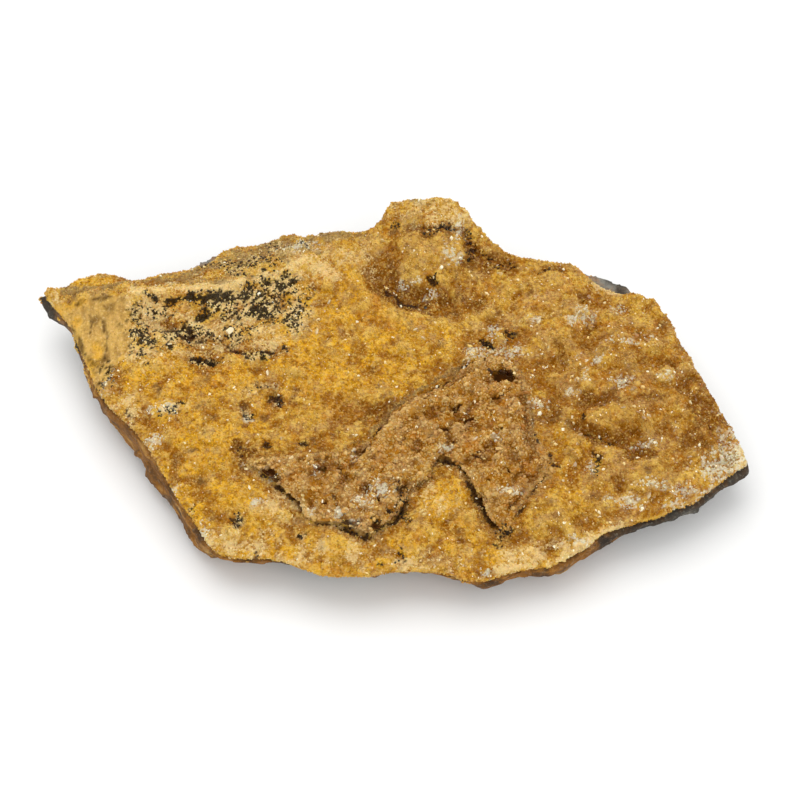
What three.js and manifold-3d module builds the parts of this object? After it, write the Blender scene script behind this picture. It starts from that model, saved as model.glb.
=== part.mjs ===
// A drusy crystal crust on a thin limestone slab, a specimen as long as a hand, lying crystals up.
// Millimetres, +Z up. The plan is laid out about the middle of the slab, +X along it and +Y towards
// its thicker back. The finished group is moved so that its bounding box stands centred on the origin.
//
// matrix        the limestone slab, with the natural bedding face that it rests on
// druse         the thin crust of small crystals that covers the top of the slab
// raised_crust  a later, coarser crust that lies on the druse with some of its edges undercut

import * as THREE from "three";
import { ImprovedNoise } from "three/addons/math/ImprovedNoise.js";
import { mergeVertices } from "three/addons/utils/BufferGeometryUtils.js";
import Module from "manifold-3d";

// ---------------------------------------------------------------- driving dimensions

const GAP = 0.3; // between one solid and the next

// The mean crystal surface: its height over the middle of the slab, and its rise per mm to the back.
const SURFACE = { height: 15, slope: 0.08 };

const CRUST = { rim: 1.6, middle: 4.4, rimBand: 0.2, overhang: 0.4 };
const ROCK = { shoulderDrop: 0.3, shoulderOut: 0.25, undersideSteps: [0.95, 0.88, 0.79], base: 0.69 };
const RAISED = { thickness: 3, edge: 0.55, edgeWidth: 3, undercut: 1.5, undercutWidth: 3.4 };

// Mesh density: rings of triangles inside the rims, points along the rims, and the raised crust's grid.
const RINGS = { crust: 14, rock: 9 };
const RIM_POINTS = { crust: 132, rock: 96, underside: 48 };
const RAISED_GRID = { x: 2, y: -11, width: 76, depth: 56, step: 2.9 };

// ---------------------------------------------------------------- outlines, all counter-clockwise

// Rim of the druse: x, y and its height over the mean surface there.
const CRUST_RIM = [
  // right tip and the right side
  [79, -15.5, -2], [78, -11.5, -2], [76.6, -8, -1.5], [75, -4.5, -1.5], [73.2, 0.4, -1.5],
  [70.7, 4, -1.5], [69.4, 8.6, -1.5], [67, 12, -1.5], [65.3, 17, -1.5], [63.9, 21.8, -1.5],
  [61.7, 25.7, -1.5], [60, 28.3, -2],
  // back right
  [57, 28.8, -1.5], [53.5, 28.8, -1.5], [50, 30.3, -1.5], [47, 32.3, -1.5], [44.8, 35, -1.5],
  [41, 37.4, -1], [36, 38.2, -1], [31, 38.3, -0.5], [27, 39.2, 0], [23.5, 41, 1],
  // the knob that stands out of the back edge
  [20.5, 43.9, 2.5], [18.5, 45.9, 4], [16.5, 48.4, 5], [14.5, 50.2, 5.3], [11.5, 51.3, 5],
  [8, 51.2, 4.7], [4.5, 50.6, 4.4], [1, 51.6, 5], [-0.7, 51, 4.5], [-2, 48.7, 3.5], [-3, 46.9, 2.5],
  // back left
  [-5, 45.5, 1.5], [-8, 44.7, 0.5], [-12, 45.8, 0], [-17, 45.5, -0.5], [-21, 45, -1.5],
  [-25, 46.7, -2.5], [-29, 45.3, -3.5], [-33, 44.1, -4], [-37, 44.6, -4], [-40.5, 43, -4],
  [-43, 39.8, -3.5], [-47, 37, -3], [-52, 36.2, -3], [-57, 35.2, -3], [-61, 33.8, -3],
  [-65, 34.9, -2.5], [-69, 35.4, -2.5], [-73, 34.4, -2.5], [-76, 32.4, -2.5],
  // left tip and the long left side
  [-81, 32.5, -3], [-81.6, 31, -4], [-79.7, 28.8, -5], [-77, 25.8, -5], [-75, 22.8, -5],
  [-73, 17.8, -5], [-70.5, 12, -4.5], [-68, 5.6, -4], [-65.5, 1, -3], [-62, -3.2, -2],
  [-59, -6.5, -1.5], [-54, -14, -1.5], [-48.5, -24, -1.5], [-43, -32.5, -1.5], [-41, -36, -1.5],
  [-38.5, -38.5, -1.5],
  // front
  [-35, -39.5, -1.5], [-28, -39.6, -1.5], [-24, -40.5, -1], [-16, -43.9, -1], [-10, -44.1, -1],
  [-5, -44.1, -1], [-1, -43.1, -1], [5, -42.8, -1], [11, -43.4, -1], [16, -44.8, -1.5],
  [20, -44.9, -2], [24, -43.3, -1.5], [30, -41.8, -1.5], [34, -41.7, -1.5], [38, -39.3, -1.5],
  [42, -37, -1.5], [46, -33.3, -1.5], [50, -31.7, -1.5], [56, -30, -1.5], [60, -28.8, -1.5],
  [62.5, -26.8, -1.5], [66, -26, -2], [69, -23.7, -2], [72, -20.7, -2], [75, -18.4, -2],
];

// Lower edge of the slab's side, where its broken underside starts: x, y and its height.
const ROCK_BELT = [
  // right side and back
  [79.2, -14.2, 5], [75.5, -6, 6], [70, 3, 6], [65.5, 12, 6.5], [61.5, 20, 7], [58, 25.5, 7.5],
  [54, 31, 7.5], [49, 33, 8], [43, 34.5, 8.5], [36, 35.2, 9], [28, 36, 9.5], [22, 38.5, 10],
  [17, 44, 10.5], [12, 48.5, 11], [5, 48.8, 11], [-1, 47.8, 11], [-5, 42.5, 10], [-12, 42.3, 9.5],
  [-20, 42, 9], [-27, 42.5, 8.5], [-36, 42, 8], [-44, 39, 8], [-52, 33.5, 8.5], [-60, 31.5, 8.5],
  [-68, 32.5, 8.5], [-75, 30.5, 8.5],
  // left tip and the long left side
  [-82, 31.3, 8.5], [-80.4, 28.9, 8], [-78, 26.8, 8], [-75.3, 24, 8], [-70.7, 12.6, 8],
  [-66.2, 1, 7], [-62.7, -3.4, 4.5], [-58, -9.6, 4], [-54.2, -16.3, 4], [-50.6, -20.8, 4.5],
  [-48.7, -23.8, 3.5], [-46.7, -29.3, 4], [-44, -33, 4], [-38.8, -36, 3.5],
  // front
  [-33, -34, 4], [-25, -35, 4], [-15, -37.5, 4], [-5, -38, 4], [5, -37.5, 4], [12, -40.5, 5.5],
  [16, -43, 6], [20, -44.1, 4.5], [25, -42, 5.5], [30, -41.4, 6.5], [34, -41.2, 5.5],
  [38, -39.2, 4.5], [42, -36.6, 4.5], [46, -33.5, 4.5], [50, -30.8, 5], [55, -29, 5.5],
  [60, -27.4, 6], [66.2, -25.5, 4.5], [70, -21.7, 5], [76, -17, 5.5],
];

// Where the rock stands out past the crust, or back under it: x, y, reach along the rim and how far.
const PROUD_ROCK = [
  [50.2, 31, 6, 4.8],
  [-43.5, 39, 4.5, 2.8],
  [-80.5, 31, 5, 1.3],
  [77, -16, 5, 0.5],
  [-12, -43, 26, -1.6],
];

// Outline of the raised crust.
const RAISED_OUTLINE = [
  // left lobe, upper side
  [-33, -17], [-27, -16], [-20, -15], [-13, -14.5], [-8, -13], [-5, -11.5], [-2.5, -9], [0, -5],
  [3, -1.5], [7, 0.8], [11, 2.5], [14, 5], [16, 7.5], [19, 9.5], [22, 10.5],
  // right side
  [26, 9], [29, 6.5], [30.5, 2], [31, -3], [31, -8], [32, -12], [34, -16], [34.5, -19],
  // right lobe, down to its point and up again
  [32.5, -22], [30, -25], [27, -29], [25.5, -32.5], [23.5, -34.5], [21.5, -32], [19.5, -28],
  [17.5, -23.5], [15, -19], [12, -16.3], [10, -15.5],
  // notch, then the left lobe's lower side
  [8.5, -18], [8, -21], [5, -22.5], [3, -24.5], [2.5, -27.5], [0.5, -30.5], [-2, -32.5], [-5, -35],
  [-9, -34], [-13, -32.5], [-17, -32.5], [-20, -31], [-21, -27.5], [-24, -25], [-27, -22.5],
  [-30, -19.5],
];

// Stretches of that outline which the crust overhangs.
const UNDERCUTS = [
  [[10.5, -15.5], [13, -16.5], [16, -20], [18, -25], [20, -29], [22.5, -33]],
  [
    [-30, -18.5], [-27, -22], [-24, -24.5], [-20, -31], [-14, -32], [-10, -33.5], [-6, -35], [0, -31],
    [3, -27],
  ],
  [[-5, -11.5], [0, -5], [7, 0.8]],
];

// ---------------------------------------------------------------- relief of the crystal surface

// Swells and hollows: x, y, reach along x and y, height.
const SWELLS = [
  [8, 40.5, 11, 11, 5.5], [3, 46.5, 6, 6, 1.5], // the knob
  [-45, 24.3, 14, 8, -2], [-30, 24.3, 9, 9, -2], // chipped zone
  [18, 28, 6, 6, -1.5], [33, 9, 5, 5, -1.2], [66, -13, 7, 7, -1.5], [-8, -3, 7, 4, -1.5],
  [-45, -9, 20, 14, 1.5], [-28, -26.3, 7, 7, 2], [-35, -33.5, 8, 8, 0.8], [-12, -39, 8, 8, 1.5],
  [5, -38.7, 8, 8, 1], [12, -26, 8.5, 8.5, 1.5], [38, -13.3, 6, 6, 2], [36, -27, 8, 8, 1.6],
  [28, -38.5, 6, 6, 0.8], [50, -4, 7, 7, 1.5], [60, 1, 9, 9, 1.6], [65, -8.5, 6, 6, 0.8],
  [53, -22.8, 8, 8, 1.2], [45, -15.7, 5, 5, 1], [50, 17.3, 9, 9, 1], [35, 24, 9, 9, 1.6],
  [40, 11.5, 6, 6, 0.8], [-10, 24.5, 12, 12, 0.8], [-12, 4.6, 10, 10, 0.6],
];

// Ridges and creases: height, width and the line that they follow.
const CREASES = [
  {
    height: 2,
    width: 5,
    line: [[-63, 27], [-52, 29], [-42, 29.7], [-35, 31.2], [-29, 35], [-22, 39], [-14, 41.7]],
  },
  { height: -3.5, width: 4, line: [[-3, 34.5], [-1, 30.5], [3, 27.5], [9, 26]] },
  { height: -2, width: 3, line: [[42, -7], [47, -8.5], [52, -11], [56, -15]] },
  { height: -1.5, width: 2.6, line: [[-58, 21], [-50, 18], [-43, 14], [-40, 11]] },
  { height: -1.5, width: 2.6, line: [[-39, 16.5], [-33, 14], [-27, 13]] },
  { height: -1.5, width: 2.6, line: [[44, 3], [43, -3]] },
  { height: -1, width: 2.6, line: [[10, -33], [9, -41]] },
];

// Small pits with crystals missing: x, y, radius, depth.
const DRUSE_PITS = [
  [-34, -2, 1.5, 2.2], [-27, 1, 1.3, 1.6], [-29, 9, 1.1, 1.4], [-41.5, 10.5, 1.6, 2], [9, 32, 1.3, 1.6],
];
const RAISED_PITS = [[24.5, 5, 2, 2.4], [-16, -20, 1.3, 1.6], [18, 4, 1, 1.4]];

// ---------------------------------------------------------------- crystals

const BLADE = { length: 3.6, width: 1.5, height: 3.1, spread: 0.3 };
const POINT = { radius: 1.5, height: 3, sides: 5, spread: 0.25 };
const MOST_TILT = 0.6; // radians from upright
const ROOT = 0.9; // how deep a crystal is grown in

// The largest blades: x, y, turn about Z in degrees.
const LARGE_BLADES = [
  [49, -8, 60], [58, 15, 20], [61, 5, 35], [44, 4, 70], [43, 23, 50], [30, 20, 40], [66, 7, 10],
  [40, 25, 45], [53, 9, 120], [36, 6, 15], [57, -6, 100], [72, -12, 75], [47, 12, 30],
];
const DRUSE_CRYSTALS = { blades: 16, points: 46, apart: 6.5, seed: 17 };
const RAISED_CRYSTALS = { blades: 8, points: 22, apart: 4.6, seed: 5 };

// Places without crystals of this size: x, y, reach along x and y.
const BARE = [
  [-68, 22, 12, 18], // smooth fracture face behind the left tip
  [-42, 25, 20, 12], // chipped zone
];

// ---------------------------------------------------------------- small helpers

const { clamp, degToRad, lerp, smoothstep } = THREE.MathUtils;
const perlin = new ImprovedNoise();

// Smooth noise from -1 to 1 with features of the given size.
function noise(x, y, size, layer = 0) {
  return perlin.noise(x / size, y / size, layer * 7.3 + 0.5);
}

// Numbers from 0 to 1 in an order set by the seed.
function seededRandom(seed) {
  let state = seed;
  return () => {
    state = (state * 1664525 + 1013904223) % 4294967296;
    return state / 4294967296;
  };
}

function distanceToSegment(x, y, [ax, ay], [bx, by]) {
  const lengthSquared = (bx - ax) ** 2 + (by - ay) ** 2;
  const along = clamp(((x - ax) * (bx - ax) + (y - ay) * (by - ay)) / lengthSquared, 0, 1);
  return Math.hypot(x - lerp(ax, bx, along), y - lerp(ay, by, along));
}

function distanceToLine(x, y, line) {
  return Math.min(...line.slice(1).map((end, i) => distanceToSegment(x, y, line[i], end)));
}

function isInside(x, y, outline) {
  let inside = false;
  outline.forEach(([bx, by], i) => {
    const [ax, ay] = outline.at(i - 1);
    const crosses = ay > y !== by > y && x < ((bx - ax) * (y - ay)) / (by - ay) + ax;
    inside = crosses ? !inside : inside;
  });
  return inside;
}

// A closed line around the middle that gives its radius and its z in any direction.
class RimLine {
  constructor(points) {
    this.corners = points.map((p) => new THREE.Vector3(...p));
    this.curve = new THREE.CatmullRomCurve3(this.corners, true, "centripetal");
    this.fine = this.spaced(900).sort((a, b) => Math.atan2(a.y, a.x) - Math.atan2(b.y, b.x));
  }

  // Evenly spaced points, each corner of the line taking the place of the point nearest to it.
  spaced(count) {
    const points = this.curve.getSpacedPoints(count).slice(0, count);
    this.corners.forEach((corner) => {
      const gaps = points.map((p) => p.distanceTo(corner));
      points[gaps.indexOf(Math.min(...gaps))] = corner.clone();
    });
    return points;
  }

  at(x, y) {
    const angle = Math.atan2(y, x);
    let next = this.fine.findIndex((p) => Math.atan2(p.y, p.x) > angle);
    next = next < 0 ? 0 : next;
    const a = this.fine.at(next - 1);
    const b = this.fine[next];
    const turnOfA = Math.abs(a.x * y - a.y * x);
    const turnOfB = Math.abs(b.x * y - b.y * x);
    const share = turnOfA / (turnOfA + turnOfB || 1);
    return { radius: lerp(Math.hypot(a.x, a.y), Math.hypot(b.x, b.y), share), z: lerp(a.z, b.z, share) };
  }
}

const crustRim = new RimLine(CRUST_RIM);
const rockBelt = new RimLine(ROCK_BELT);

// ---------------------------------------------------------------- heights of the surfaces

const meanSurface = (y) => SURFACE.height + SURFACE.slope * y;

function swellsAt(x, y) {
  return SWELLS.reduce((sum, [cx, cy, rx, ry, height]) => {
    return sum + height * Math.exp(-1.5 * (((x - cx) / rx) ** 2 + ((y - cy) / ry) ** 2));
  }, 0);
}

function creasesAt(x, y) {
  return CREASES.reduce((sum, { height, width, line }) => {
    return sum + height * Math.exp(-1.5 * (distanceToLine(x, y, line) / width) ** 2);
  }, 0);
}

// 0 over the middle of the specimen, 1 at its rim, with the height of the rim in that direction.
function rimAt(x, y) {
  const { radius, z } = crustRim.at(x, y);
  const share = smoothstep(Math.hypot(x, y) / radius, 1 - CRUST.rimBand, 1);
  return { share, rise: z };
}

function crustTop(x, y) {
  const rim = rimAt(x, y);
  const relief = swellsAt(x, y) + creasesAt(x, y) + 0.9 * noise(x, y, 13) + 0.7 * noise(x, y, 6.5, 1);
  return meanSurface(y) + lerp(relief, rim.rise + 0.25 * noise(x, y, 6, 2), rim.share);
}

function rockTop(x, y) {
  const rim = rimAt(x, y);
  const thickness = lerp(CRUST.middle, CRUST.rim, rim.share);
  return meanSurface(y) + lerp(0.85 * swellsAt(x, y), rim.rise, rim.share) - thickness;
}

function raisedTop(x, y) {
  const inwards = distanceToLine(x, y, [...RAISED_OUTLINE, RAISED_OUTLINE[0]]);
  const edge = lerp(RAISED.edge, 1, smoothstep(inwards, 0, RAISED.edgeWidth));
  const thinner = lerp(1, 0.7, smoothstep(x, 20, 34));
  return crustTop(x, y) + RAISED.thickness * edge * thinner + 0.8 * noise(x, y, 5, 3);
}

function raisedUnderside(x, y) {
  const nearest = Math.min(...UNDERCUTS.map((line) => distanceToLine(x, y, line)));
  return crustTop(x, y) - 1 + (1 + RAISED.undercut) * (1 - smoothstep(nearest, 1, RAISED.undercutWidth));
}

function normalAt(surface, x, y) {
  const step = 1.5;
  const slopeX = (surface(x + step, y) - surface(x - step, y)) / (2 * step);
  const slopeY = (surface(x, y + step) - surface(x, y - step)) / (2 * step);
  return new THREE.Vector3(-slopeX, -slopeY, 1).normalize();
}

// ---------------------------------------------------------------- triangles to solids

const wasm = await Module();
wasm.setup();

function solidOf(geometry) {
  geometry.deleteAttribute("normal");
  geometry.deleteAttribute("uv");
  const merged = mergeVertices(geometry, 1e-4);
  const vertProperties = new Float32Array(merged.attributes.position.array);
  const triVerts = new Uint32Array(merged.index.array);
  return new wasm.Manifold(new wasm.Mesh({ numProp: 3, vertProperties, triVerts }));
}

function solidFromTriangles(corners) {
  return solidOf(new THREE.BufferGeometry().setFromPoints(corners));
}

function lift(solid, height) {
  return solid.translate([0, 0, height]);
}

function meshOf(name, solid, material) {
  const { vertProperties, triVerts } = solid.getMesh();
  const geometry = new THREE.BufferGeometry();
  geometry.setAttribute("position", new THREE.BufferAttribute(new Float32Array(vertProperties), 3));
  geometry.setIndex(new THREE.BufferAttribute(new Uint32Array(triVerts), 1));
  geometry.computeVertexNormals();
  const mesh = new THREE.Mesh(geometry, new THREE.MeshStandardMaterial(material));
  mesh.name = name;
  return mesh;
}

// A sheet of triangles over an outline: ring i holds 6 i points, and the outline itself goes around the
// last ring with its own number of points.
function makeSheet(outline, ringCount, surface) {
  const rings = [[new THREE.Vector3(0, 0, surface(0, 0))]];
  const triangles = [];
  for (let i = 1; i <= ringCount; i++) {
    const ring = [];
    for (let k = 0; k < 6 * i; k++) {
      const place = (k * outline.length) / (6 * i);
      const from = Math.floor(place);
      const point = outline[from].clone().lerp(outline[(from + 1) % outline.length], place - from);
      point.multiplyScalar(i / (ringCount + 1));
      ring.push(point.setZ(surface(point.x, point.y)));
    }
    const inner = rings.at(-1);
    ring.forEach((a, k) => {
      const sector = Math.floor(k / i);
      const c = inner[(k - sector) % inner.length];
      const b = ring[(k + 1) % ring.length];
      triangles.push(c, a, b);
      if (k % i < i - 1) triangles.push(c, b, inner[(k - sector + 1) % inner.length]);
    });
    rings.push(ring);
  }
  const edge = outline.map((p) => p.clone().setZ(surface(p.x, p.y)));
  triangles.push(...makeWall(rings.at(-1), edge));
  return { triangles, edge };
}

// The wall between two closed loops, the upper one first; they may differ in their number of points.
function makeWall(upper, lower) {
  const triangles = [];
  let u = 0;
  let l = 0;
  while (u < upper.length || l < lower.length) {
    const top = upper[u % upper.length];
    const bottom = lower[l % lower.length];
    if ((u + 1) / upper.length <= (l + 1) / lower.length) {
      u += 1;
      triangles.push(top, bottom, upper[u % upper.length]);
    } else {
      l += 1;
      triangles.push(top, bottom, lower[l % lower.length]);
    }
  }
  return triangles;
}

function makeWalls(loops) {
  return loops.slice(1).flatMap((loop, i) => makeWall(loops[i], loop));
}

// A flat face that closes a loop from below.
function makeBase(loop) {
  const middle = new THREE.Vector3(0, 0, loop[0].z);
  return loop.flatMap((point, i) => [point, middle, loop[(i + 1) % loop.length]]);
}

// Where the crust sits on the rock: the rim of the crust drawn in by its overhang.
function interfaceOutline() {
  return crustRim.spaced(RIM_POINTS.rock).map((p) => {
    const radius = Math.hypot(p.x, p.y);
    return p.clone().multiplyScalar((radius - CRUST.overhang) / radius);
  });
}

// ---------------------------------------------------------------- the limestone slab

function moveOut(point, distance, z) {
  const radius = Math.hypot(point.x, point.y);
  const scale = (radius + distance) / radius;
  return new THREE.Vector3(point.x * scale, point.y * scale, z);
}

function proudAt(x, y) {
  return PROUD_ROCK.reduce((sum, [cx, cy, reach, out]) => {
    return sum + out * Math.exp(-1.5 * ((x - cx) ** 2 + (y - cy) ** 2) / reach ** 2);
  }, 0);
}

function makeMatrix() {
  const top = makeSheet(interfaceOutline(), RINGS.rock, rockTop);
  const shoulder = top.edge.map((p) => {
    const out = proudAt(p.x, p.y);
    return moveOut(p, ROCK.shoulderOut + out, p.z - ROCK.shoulderDrop);
  });
  const belt = shoulder.map((p) => {
    const { radius, z } = rockBelt.at(p.x, p.y);
    return moveOut(p, radius - Math.hypot(p.x, p.y), z);
  });
  const side = shoulder.map((p, i) => {
    const ledge = 0.6 * noise(p.x, p.y, 7, 4);
    return moveOut(p.clone().lerp(belt[i], 0.5), ledge, lerp(p.z, belt[i].z, 0.5 + 0.1 * ledge));
  });
  const sparse = belt.filter((_, i) => i % (RIM_POINTS.rock / RIM_POINTS.underside) === 0);
  const underside = ROCK.undersideSteps.map((scale, step) => {
    const fall = (1 - scale) / (1 - ROCK.base);
    return (step === 0 ? belt : sparse).map((p, i) => {
      const inset = scale + 0.02 * noise(p.x, p.y, 9, 5);
      const roughness = 1.3 * noise(p.x * scale, p.y * scale, 11, 6) + 0.4 * (i % 2);
      const z = Math.max(p.z * (1 - fall) ** 1.4 + roughness * Math.min(1, 3 * (1 - fall)), 0.5);
      return new THREE.Vector3(p.x * inset, p.y * inset, z);
    });
  });
  const base = sparse.map((p) => {
    const scale = ROCK.base + 0.05 * noise(p.x, p.y, 16, 7);
    return new THREE.Vector3(p.x * scale, p.y * scale, 0);
  });
  const walls = makeWalls([top.edge, shoulder, side, belt, ...underside, base]);
  return solidFromTriangles([...top.triangles, ...walls, ...makeBase(base)]);
}

// ---------------------------------------------------------------- crystals

// A tabular crystal with a chisel edge: a gabled outline with thickness, standing on its root.
function bladeGeometry(size) {
  const half = (BLADE.length * size) / 2;
  const height = BLADE.height * size;
  const outline = new THREE.Shape([
    new THREE.Vector2(-half, 0),
    new THREE.Vector2(half, 0),
    new THREE.Vector2(half, height * 0.62),
    new THREE.Vector2(half * 0.35, height),
    new THREE.Vector2(-half, height * 0.74),
  ]);
  const geometry = new THREE.ExtrudeGeometry(outline, { depth: BLADE.width * size, bevelEnabled: false });
  geometry.translate(0, 0, (-BLADE.width * size) / 2);
  return geometry.rotateX(Math.PI / 2);
}

function pointGeometry(size) {
  const geometry = new THREE.ConeGeometry(POINT.radius * size, POINT.height * size, POINT.sides, 1);
  geometry.translate(0, (POINT.height * size) / 2, 0);
  return geometry.rotateX(Math.PI / 2);
}

// Stands a crystal on a surface at x, y, turned about its own axis and leaning by up to MOST_TILT.
function placeCrystal(geometry, surface, x, y, turn, random) {
  const leaning = normalAt(surface, x, y);
  const tilt = MOST_TILT * Math.sqrt(random());
  const way = 2 * Math.PI * random();
  leaning.add(new THREE.Vector3(Math.cos(way), Math.sin(way), 0).multiplyScalar(Math.tan(tilt)));
  const stand = new THREE.Quaternion().setFromUnitVectors(new THREE.Vector3(0, 0, 1), leaning.normalize());
  geometry.rotateZ(turn).applyQuaternion(stand);
  geometry.translate(x, y, surface(x, y) - ROOT);
  return solidOf(geometry);
}

// Places that are spread over a region, none closer together than asked.
function spreadPlaces(count, apart, taken, isAllowed, random) {
  const places = [];
  while (places.length < count) {
    const x = lerp(-80, 80, random());
    const y = lerp(-45, 52, random());
    const isClear = [...taken, ...places].every(([px, py]) => Math.hypot(px - x, py - y) > apart);
    if (isClear && isAllowed(x, y)) places.push([x, y]);
  }
  return places;
}

function growCrystals(surface, settings, named, isAllowed) {
  const random = seededRandom(settings.seed);
  const count = settings.blades + settings.points;
  const places = spreadPlaces(count, settings.apart, named, isAllowed, random);
  const grown = named.map(([x, y, turn]) => {
    return placeCrystal(bladeGeometry(1), surface, x, y, degToRad(turn), random);
  });
  places.forEach(([x, y], i) => {
    const isBlade = i < settings.blades;
    const spread = isBlade ? BLADE.spread : POINT.spread;
    const size = 1 + spread * (random() - 0.7);
    const geometry = isBlade ? bladeGeometry(size) : pointGeometry(size);
    grown.push(placeCrystal(geometry, surface, x, y, 2 * Math.PI * random(), random));
  });
  return grown;
}

function pitSolids(pits, surface) {
  return pits.map(([x, y, radius, depth]) => {
    const geometry = new THREE.CylinderGeometry(radius * 1.4, radius * 0.35, depth * 2, 6, 1);
    geometry.rotateX(Math.PI / 2).rotateZ(x);
    geometry.translate(x, y, surface(x, y));
    return solidOf(geometry);
  });
}

// ---------------------------------------------------------------- the druse

const isBare = (x, y) => BARE.some(([cx, cy, rx, ry]) => ((x - cx) / rx) ** 2 + ((y - cy) / ry) ** 2 < 1);
const isNearRim = (x, y) => Math.hypot(x, y) > 0.93 * crustRim.at(x, y).radius;

function takesDruseCrystal(x, y) {
  const outside = distanceToLine(x, y, [...RAISED_OUTLINE, RAISED_OUTLINE[0]]);
  const isClearOfRaised = !isInside(x, y, RAISED_OUTLINE) && outside > 3.5;
  return isClearOfRaised && !isBare(x, y) && !isNearRim(x, y);
}

function makeDruse(matrix) {
  const top = makeSheet(crustRim.spaced(RIM_POINTS.crust), RINGS.crust, crustTop);
  const underside = makeSheet(interfaceOutline(), RINGS.rock, (x, y) => rockTop(x, y) + GAP);
  const wall = makeWall(top.edge, underside.edge);
  const closed = [...top.triangles, ...wall, ...underside.triangles.toReversed()];
  const crystals = growCrystals(crustTop, DRUSE_CRYSTALS, LARGE_BLADES, takesDruseCrystal);
  return crystals
    .reduce((body, crystal) => body.add(crystal), solidFromTriangles(closed))
    .subtract(wasm.Manifold.union(pitSolids(DRUSE_PITS, crustTop)))
    .subtract(lift(matrix, 0.9 * GAP));
}

// Everything below the bare top of the druse, to cut what lies on it.
function makeDruseColumn() {
  const top = makeSheet(crustRim.spaced(RIM_POINTS.crust), RINGS.crust, crustTop);
  const foot = top.edge.map((p) => p.clone().setZ(-1));
  return solidFromTriangles([...top.triangles, ...makeWall(top.edge, foot), ...makeBase(foot)]);
}

// ---------------------------------------------------------------- the raised crust

function takesRaisedCrystal(x, y) {
  return isInside(x, y, RAISED_OUTLINE) && distanceToLine(x, y, RAISED_OUTLINE) > 2.6;
}

function makeRaisedCrust() {
  const { x, y, width, depth, step } = RAISED_GRID;
  const columns = Math.round(width / step);
  const rows = Math.round(depth / step);
  const block = new THREE.BoxGeometry(width, depth, 1, columns, rows, 1);
  block.translate(x, y, 0);
  const corners = block.attributes.position;
  for (let i = 0; i < corners.count; i++) {
    const surface = corners.getZ(i) > 0 ? raisedTop : raisedUnderside;
    corners.setZ(i, surface(corners.getX(i), corners.getY(i)));
  }
  const shape = new THREE.Shape(RAISED_OUTLINE.map(([px, py]) => new THREE.Vector2(px, py)));
  const prism = new THREE.ExtrudeGeometry(shape, { depth: 40, bevelEnabled: false });
  const crystals = growCrystals(raisedTop, RAISED_CRYSTALS, [], takesRaisedCrystal);
  return crystals
    .reduce((body, crystal) => body.add(crystal), solidOf(block).intersect(solidOf(prism)))
    .subtract(wasm.Manifold.union(pitSolids(RAISED_PITS, raisedTop)))
    .subtract(lift(makeDruseColumn(), GAP));
}

// ---------------------------------------------------------------- assembly

const matrix = makeMatrix();
const specimen = new THREE.Group();
specimen.add(meshOf("matrix", matrix, { color: 0x5d5850, roughness: 0.85, metalness: 0 }));
specimen.add(meshOf("druse", makeDruse(matrix), { color: 0xc08f3f, roughness: 0.4, metalness: 0 }));
specimen.add(meshOf("raised_crust", makeRaisedCrust(), { color: 0xaf8343, roughness: 0.45, metalness: 0 }));

const box = new THREE.Box3().setFromObject(specimen);
const middle = box.getCenter(new THREE.Vector3());
specimen.position.set(-middle.x, -middle.y, -box.min.z);

export default specimen;
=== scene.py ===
"""Dresses a drusy mineral specimen: a dark limestone slab, its honey-coloured crystal crust and the
coarser crust that grew on it. Lengths in the helpers are millimetres in the plan of the specimen: X along
the slab, Y towards its thicker back edge, Z up. Blender objects are in metres."""

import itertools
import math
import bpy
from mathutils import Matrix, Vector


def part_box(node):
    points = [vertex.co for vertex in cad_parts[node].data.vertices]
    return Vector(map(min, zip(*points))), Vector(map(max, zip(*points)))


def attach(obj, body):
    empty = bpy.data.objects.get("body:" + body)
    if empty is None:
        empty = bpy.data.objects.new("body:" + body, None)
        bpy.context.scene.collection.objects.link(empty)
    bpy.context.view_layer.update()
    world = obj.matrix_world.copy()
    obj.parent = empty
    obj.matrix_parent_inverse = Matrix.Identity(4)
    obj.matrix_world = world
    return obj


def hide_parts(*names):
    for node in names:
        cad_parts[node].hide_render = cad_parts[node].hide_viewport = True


bl_info = {
    "name": "Druse on limestone",
    "version": (1, 0, 0),
    "blender": (4, 5, 0),
    "location": "View3D > Sidebar > Specimen",
    "description": "Grows the crystal crusts and the rock of a drusy mineral specimen on its CAD solids",
    "category": "Add Mesh",
}

import bpy
import numpy as np
from bpy.props import FloatProperty, FloatVectorProperty, PointerProperty
from mathutils import Vector
from mathutils.bvhtree import BVHTree

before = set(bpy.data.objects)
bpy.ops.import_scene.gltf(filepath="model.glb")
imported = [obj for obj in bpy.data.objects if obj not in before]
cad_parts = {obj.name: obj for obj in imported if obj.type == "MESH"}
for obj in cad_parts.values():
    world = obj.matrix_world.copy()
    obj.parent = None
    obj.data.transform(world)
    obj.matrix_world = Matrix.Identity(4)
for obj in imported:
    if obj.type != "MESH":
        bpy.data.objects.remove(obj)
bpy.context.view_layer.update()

MM = 0.001
BODY = "root"

# Where the plan's origin lies in the frame: the druse's right tip and its knob have these plan places.
DRUSE_RIGHT_TIP_X = 79.0
DRUSE_KNOB_Y = 51.6


def plan_origin():
    """The plan's origin in the frame, in millimetres."""
    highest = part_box("druse")[1] / MM
    return np.array([highest.x - DRUSE_RIGHT_TIP_X, highest.y - DRUSE_KNOB_Y, 0.0])


PLAN_ORIGIN = plan_origin()

# ------------------------------------------------------------------ the lay of the specimen, plan mm

# A patch is an ellipse: its middle x and y, its reach along x and along y and, where it isn't 1, its
# strength. A seam is a width and a route.

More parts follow.
